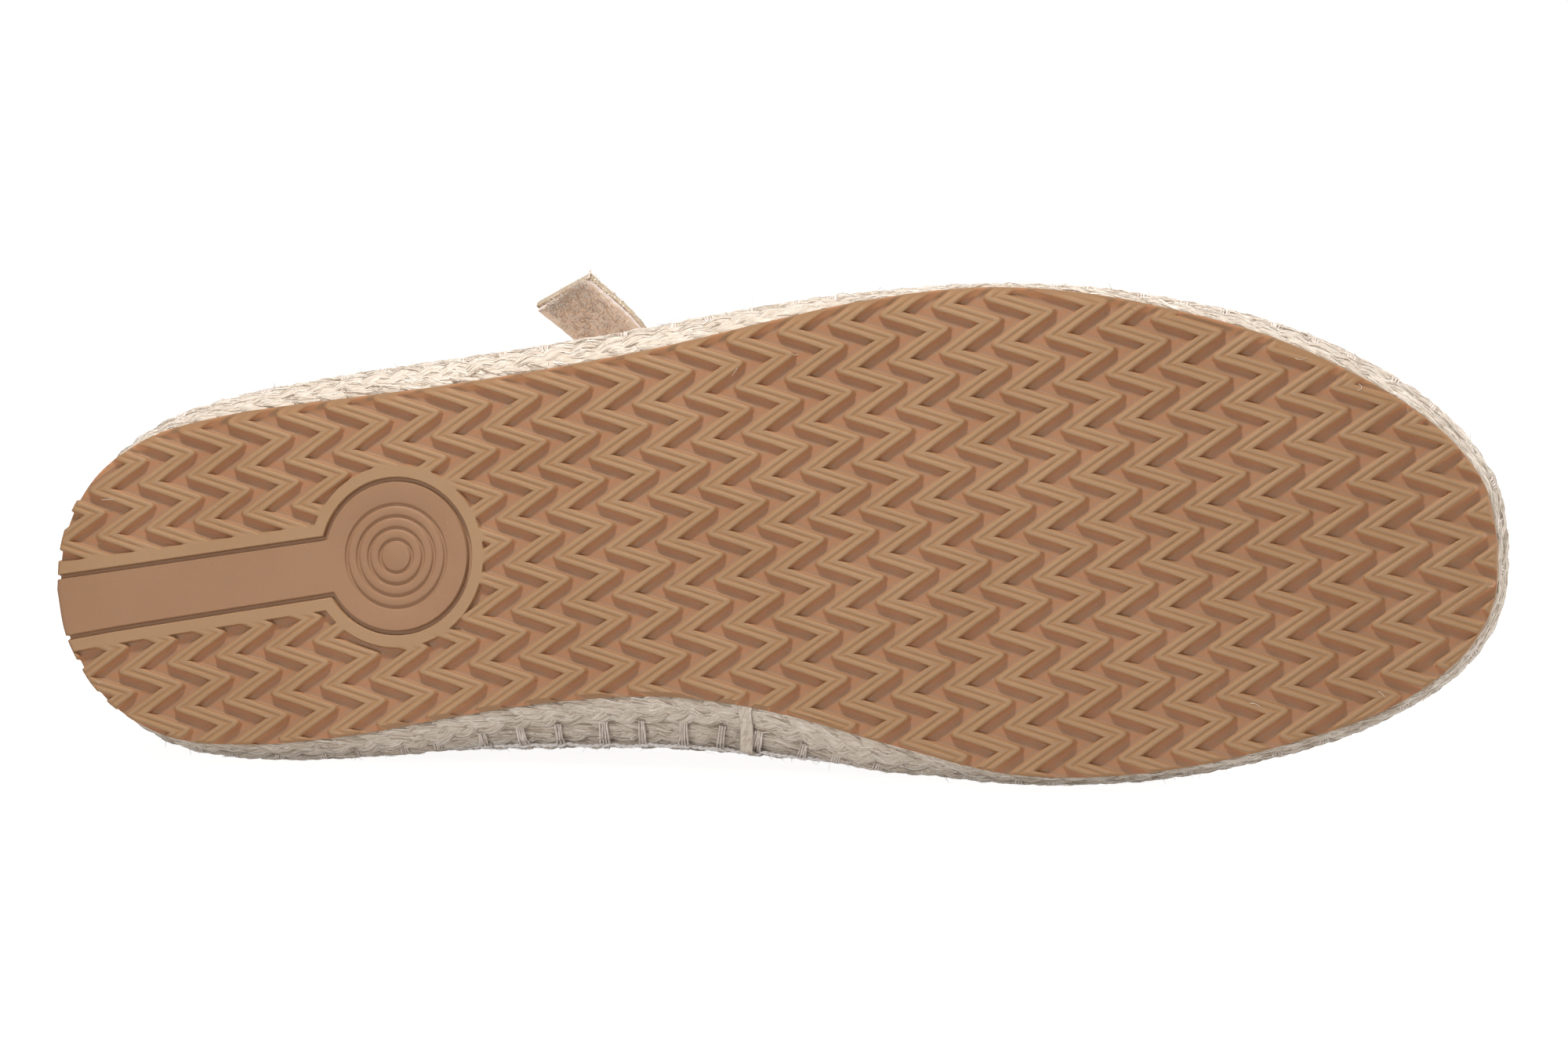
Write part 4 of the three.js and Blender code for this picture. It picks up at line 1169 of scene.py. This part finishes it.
# ------------------------------------------------------------------ the foot bed
def build_insole():
    e = SHELL.flare - UPPER_SET - WALL - GAP - 0.5
    levels = [(-0.25, 0.0), (0.0, 0.35), (0.0, 1.9), (-0.25, 2.5), (-0.9, 2.88), (-1.7, 3.0), (-4.5, 2.7), (-9.0, 2.85)]
    rings = [SHELL.at(e + o, FOOTBED + h) for o, h in levels]
    n = len(SHELL.xy)
    faces = grid_faces(len(rings), n).tolist() + rung_cap(n, 0, False) + rung_cap(n, (len(rings) - 1) * n, True)
    ob = make("foot_bed_cover", np.vstack(rings), faces, COTTON_MAT, 50)
    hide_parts("insole")
    bag = Bag("along", "around", "tone")
    line = SHELL.at(e - 3.2, FOOTBED + 2.95)
    d = np.concatenate([[0], np.cumsum(np.linalg.norm(np.diff(line, axis=0), axis=1))])
    for a in np.arange(0, d[-1] - 3, 3.6):
        t = a + np.linspace(0, 2.6, 5)
        p = np.stack([np.interp(t, d, line[:, c]) for c in range(3)], 1)
        p[:, 2] -= 0.16 * np.array([1, 0.1, 0, 0.1, 1])
        pts, f, al, ar = tube(p, 0.2, 5)
        bag.add(pts, [x for x in f if len(x) == 4], along=al, around=ar, tone=rng.random())
    ob = bag.make("foot_bed_stitches", THREAD_MAT)
    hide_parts("insole")


build_insole()

# ------------------------------------------------------------------ the strap
STRAP_N = 150


def strap_frames():
    dense = catmull(STRAP_LINE[:, :3], 40)
    keys = np.linspace(0, len(STRAP_LINE) - 1, len(dense))
    d = np.concatenate([[0], np.cumsum(np.linalg.norm(np.diff(dense, axis=0), axis=1))])
    s = np.linspace(0, d[-1], STRAP_N + 1)
    p = np.stack([np.interp(s, d, dense[:, c]) for c in range(3)], 1)
    k = np.interp(s, d, keys)
    tan = unit(np.gradient(p, axis=0))
    face = np.column_stack([np.zeros(len(s)), smooth(np.arange(len(STRAP_LINE)), STRAP_LINE[:, 3], k),
                            smooth(np.arange(len(STRAP_LINE)), STRAP_LINE[:, 4], k)])
    face = unit(face - tan * (face * tan).sum(1)[:, None])
    across = np.cross(tan, face)
    return p, tan, face, across, s


STRAP_P, STRAP_T, STRAP_F, STRAP_A, STRAP_S = strap_frames()


def build_strap():
    h = STRAP_THICK / 2
    # sections run round each ply: (across, through the thickness)
    split = -0.28
    plies = (
        ("strap_outer_ply", split, h, SUEDE_MAT, EDGE_MAT, 0.0),
        ("strap_inner_ply", -h, split + 0.01, ROUGH_PAINTED_LIGHT_MAT, PALE_MAT, -0.18),
    )
    half = STRAP_WIDTH / 2
    for name, lo, hi, skin, edge, inset in plies:
        w = half + inset
        cols = np.linspace(-1, 1, 25)
        r = 0.18
        sec, kind = [], []
        for c in cols:
            sec.append((c * (w - r), lo))
        sec += [(w - 0.05, lo + 0.05), (w, lo + r), (w, hi - r), (w - 0.05, hi - 0.05)]
        for c in cols[::-1]:
            sec.append((c * (w - r), hi))
        sec += [(-w + 0.05, hi - 0.05), (-w, hi - r), (-w, lo + r), (-w + 0.05, lo + 0.05)]
        sec = np.array(sec)
        m = len(sec)
        kinds = np.array([0] * 24 + [0, 1, 1, 1, 0] + [0] * 24 + [0, 1, 1, 1, 0])
        wavy = wave_noise(STRAP_S, STRAP_S[-1] * 1.0, (7, 11, 19, 31, 47), 0.05, 77)
        end_bow = np.zeros(len(STRAP_S))
        pts = []
        for i in range(STRAP_N + 1):
            a = sec[:, 0] * (1 + wavy[i] / half)
            near_end = max(0.0, 1 - (STRAP_S[-1] - STRAP_S[i]) / 1.2)
            b = sec[:, 1] + 0.05 * np.sin(a * 0.8 + STRAP_S[i] * 0.35)
            p = STRAP_P[i] + STRAP_A[i] * a[:, None] + STRAP_F[i] * b[:, None]
            if near_end > 0 and inset:
                p = p - STRAP_T[i] * (0.5 * near_end)
            askew = max(0.0, 1 - (STRAP_S[-1] - STRAP_S[i]) / 6.0)
            p = p + STRAP_T[i] * (askew * (-0.54 + 0.60 * a / half))[:, None]
            lean = max(0.0, 1 - (STRAP_S[-1] - STRAP_S[i]) / 14.0)
            p = p + STRAP_A[i] * (lean * (0.76 + 0.40 * a / half))[:, None]
            pts.append(p)
        pts = np.array(pts)
        faces = grid_faces(STRAP_N + 1, m, flip=True).tolist()
        fm = np.tile(kinds[:m], STRAP_N).tolist()
        if inset:
            fm[-m:] = [1] * m
        # ends: a fan round the middle of the section, in cut-edge leather
        for i, flip in ((0, False), (STRAP_N, True)):
            base = i * m
            half_n = 25
            for c in range(24):
                q = [base + c, base + c + 1, base + 53 - c - 1 + 0, base + 53 - c]
                faces.append(q[::-1] if flip else q)
                fm.append(1)
            right = [base + 24, base + 25, base + 26, base + 27, base + 28, base + 29]
            left = [base + 53, base + 54, base + 55, base + 56, base + 57, base + 0]
            for q in (right, left):
                faces.append(q[::-1] if flip else q)
                fm.append(1)
        ob = make(name, pts.reshape(-1, 3), faces, [skin, edge], 45, face_mat=fm)
        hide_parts("strap")
    # short curled fibres on the rough inner face and along the cut edges
    bag = Bag("along", "around", "tone")
    count = 3300
    total = STRAP_S[-1]
    for _ in range(count):
        s = total - rng.uniform(0, 1) ** 2.6 * total
        i = min(int(s / total * STRAP_N), STRAP_N)
        where = rng.random()
        if where < 0.8:
            a, b, nrm = rng.uniform(-half + 0.6, half - 0.6), -h, -STRAP_F[i]
        else:
            side = 1 if rng.random() < 0.5 else -1
            a, b, nrm = side * half, rng.uniform(-h, h), STRAP_A[i] * side
        p0 = STRAP_P[i] + STRAP_A[i] * a + STRAP_F[i] * b + nrm * 0.02
        ang = rng.uniform(0, 2 * math.pi)
        d1 = unit(STRAP_T[i] * math.cos(ang) + STRAP_A[i] * math.sin(ang) + nrm * rng.uniform(0.05, 0.5))
        curl = np.cross(nrm, d1) * rng.normal() * 0.7
        length = rng.uniform(0.4, 1.4) if where < 0.8 else rng.uniform(0.15, 0.35)
        t = np.linspace(0, 1, 5)[:, None]
        path = p0 + d1 * t * length + curl * t * t * length * 0.8 + nrm * (0.14 * np.sin(np.pi * t))
        pts, f, al, ar = tube(path, np.linspace(0.080, 0.040, 5) * rng.uniform(0.7, 1.3), 3)
        bag.add(pts, [x for x in f if len(x) == 4], along=al, around=ar, tone=rng.random())
    ob = bag.make("strap_nap", NAP_MAT)
    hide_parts("strap")


build_strap()


# ------------------------------------------------------------------ stray bits on the rubber
def build_stray():
    bag = Bag("along", "around", "tone")
    for _ in range(16):
        k = int(rng.integers(len(SOLE.xy)))
        inset = rng.uniform(0.4, 9.0) ** 1.0
        p = SOLE.xy[k] - SOLE.out[k] * inset
        ang = rng.uniform(0, 2 * math.pi)
        length = rng.uniform(0.8, 2.6)
        t = np.linspace(-0.5, 0.5, 6)
        curve = rng.normal() * 0.35
        q = p + np.stack([np.cos(ang + curve * t * 2), np.sin(ang + curve * t * 2)], 1) * (t * length)[:, None]
        e, _ = edge_distance(q)
        if e.min() < 0.4 or band_distance(q).min() < RIM_END:
            continue
        d, _, _ = tread_depth(q)
        z = ground(q[:, 0]) + np.minimum(d, d.min() + 0.02) - 0.05
        path = np.column_stack([q, z])
        pts, f, al, ar = tube(path, 0.035, 4)
        bag.add(pts, f and [x for x in f if len(x) == 4], along=al, around=ar, tone=rng.random())
    ob = bag.make("stray_fibres", FIBRE_MAT)
    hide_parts("outsole")


build_stray()

# ------------------------------------------------------------------ floor, light and camera
scene = bpy.context.scene


def stage_material(name):
    """Pale and matt. The camera sees it near white, while the shoe gets back only a soft share of it."""
    m = bpy.data.materials.new(name)
    m.use_nodes = True
    t = m.node_tree
    t.nodes.clear()
    out = t.nodes.new("ShaderNodeOutputMaterial")
    add = t.nodes.new("ShaderNodeAddShader")
    matt = t.nodes.new("ShaderNodeBsdfDiffuse")
    glow = t.nodes.new("ShaderNodeEmission")
    path = t.nodes.new("ShaderNodeLightPath")
    reach = t.nodes.new("ShaderNodeMapRange")
    matt.inputs[0].default_value = (0.42, 0.42, 0.42, 1)
    for i, v in enumerate((0.0, 1.0, 0.30, 0.90)):
        reach.inputs[i + 1].default_value = v
    t.links.new(path.outputs["Is Camera Ray"], reach.inputs[0])
    t.links.new(reach.outputs[0], glow.inputs["Strength"])
    t.links.new(matt.outputs[0], add.inputs[0])
    t.links.new(glow.outputs[0], add.inputs[1])
    t.links.new(add.outputs[0], out.inputs[0])
    return m


def build_stage():
    prof = [(-2.5, 0.0), (1.2, 0.0)]
    for a in np.linspace(0, math.pi / 2, 24)[1:]:
        prof.append((1.2 + 1.0 * math.sin(a), 1.0 - 1.0 * math.cos(a)))
    prof.append((2.2, 3.5))
    v, f = [], []
    for y, z in prof:
        v += [(-3.0, y, z), (3.0, y, z)]
    for i in range(len(prof) - 1):
        f.append((2 * i, 2 * i + 1, 2 * i + 3, 2 * i + 2))
    me = bpy.data.meshes.new("backdrop")
    me.from_pydata(v, [], f)
    me.polygons.foreach_set("use_smooth", np.ones(len(f), bool))
    me.materials.append(stage_material("pale_floor"))
    ob = bpy.data.objects.new("backdrop", me)
    scene.collection.objects.link(ob)


build_stage()


def area(name, place, aim, size, power):
    lamp = bpy.data.lights.new(name, "AREA")
    lamp.shape, lamp.size, lamp.size_y, lamp.energy = "RECTANGLE", size[0], size[1], power
    ob = bpy.data.objects.new(name, lamp)
    ob.location = place
    ob.rotation_mode = "QUATERNION"
    ob.rotation_quaternion = (Vector(aim) - Vector(place)).to_track_quat("-Z", "Y")
    scene.collection.objects.link(ob)
    return ob


area("key", (-0.075, -0.217, 0.53), (0.0, 0.0, 0.04), (0.05, 0.05), 2.66)
area("front", (-0.12, -1.10, 0.08), (0.0, 0.0, 0.04), (0.6, 0.4), 4.8)
area("top", (-0.05, -0.05, 1.1), (0.0, 0.0, 0.04), (0.9, 0.9), 1.8)
area("side", (0.80, 0.12, 0.26), (0.1, 0.0, 0.04), (0.26, 0.26), 3.6)

world = bpy.data.worlds.new("studio")
scene.world = world
world.use_nodes = True
world.node_tree.nodes["Background"].inputs[0].default_value = (1.0, 1.0, 1.0, 1)
world.node_tree.nodes["Background"].inputs[1].default_value = 0.27

# the photo's camera, in the standing shoe's frame (mm): its place and its right, down and forward directions
c, s = math.cos(math.radians(-3.6)), math.sin(math.radians(-3.6))
RZ = np.array([[c, -s, 0], [s, c, 0], [0, 0, 1]])
c, s = math.cos(math.radians(13.5)), math.sin(math.radians(13.5))
RY = np.array([[c, 0, s], [0, 1, 0], [-s, 0, c]])
c, s = math.cos(math.radians(-0.8)), math.sin(math.radians(-0.8))
RX = np.array([[1, 0, 0], [0, c, -s], [0, s, c]])
R = RX @ RY @ RZ
EYE = np.array([137.56964304, -3.21799511, 0.0]) - 831.0 * R[2]
cam_data = bpy.data.cameras.new("camera")
cam_data.lens, cam_data.sensor_width, cam_data.sensor_fit = 108.0, 36.0, "HORIZONTAL"
cam_data.clip_start, cam_data.clip_end = 0.02, 20.0
cam = bpy.data.objects.new("camera", cam_data)
axes = LIE[:, :3] @ R.T                      # columns: right, down, forward in the row frame
place = (LIE[:, :3] @ EYE + LIE[:, 3]) * 0.001
cam.matrix_world = Matrix((
    (axes[0, 0], -axes[0, 1], -axes[0, 2], place[0]),
    (axes[1, 0], -axes[1, 1], -axes[1, 2], place[1]),
    (axes[2, 0], -axes[2, 1], -axes[2, 2], place[2]),
    (0, 0, 0, 1),
))
scene.collection.objects.link(cam)
scene.camera = cam
scene.render.engine = "CYCLES"
scene.view_settings.view_transform = "Standard"
scene.view_settings.look = "None"
scene.view_settings.exposure = 0.0
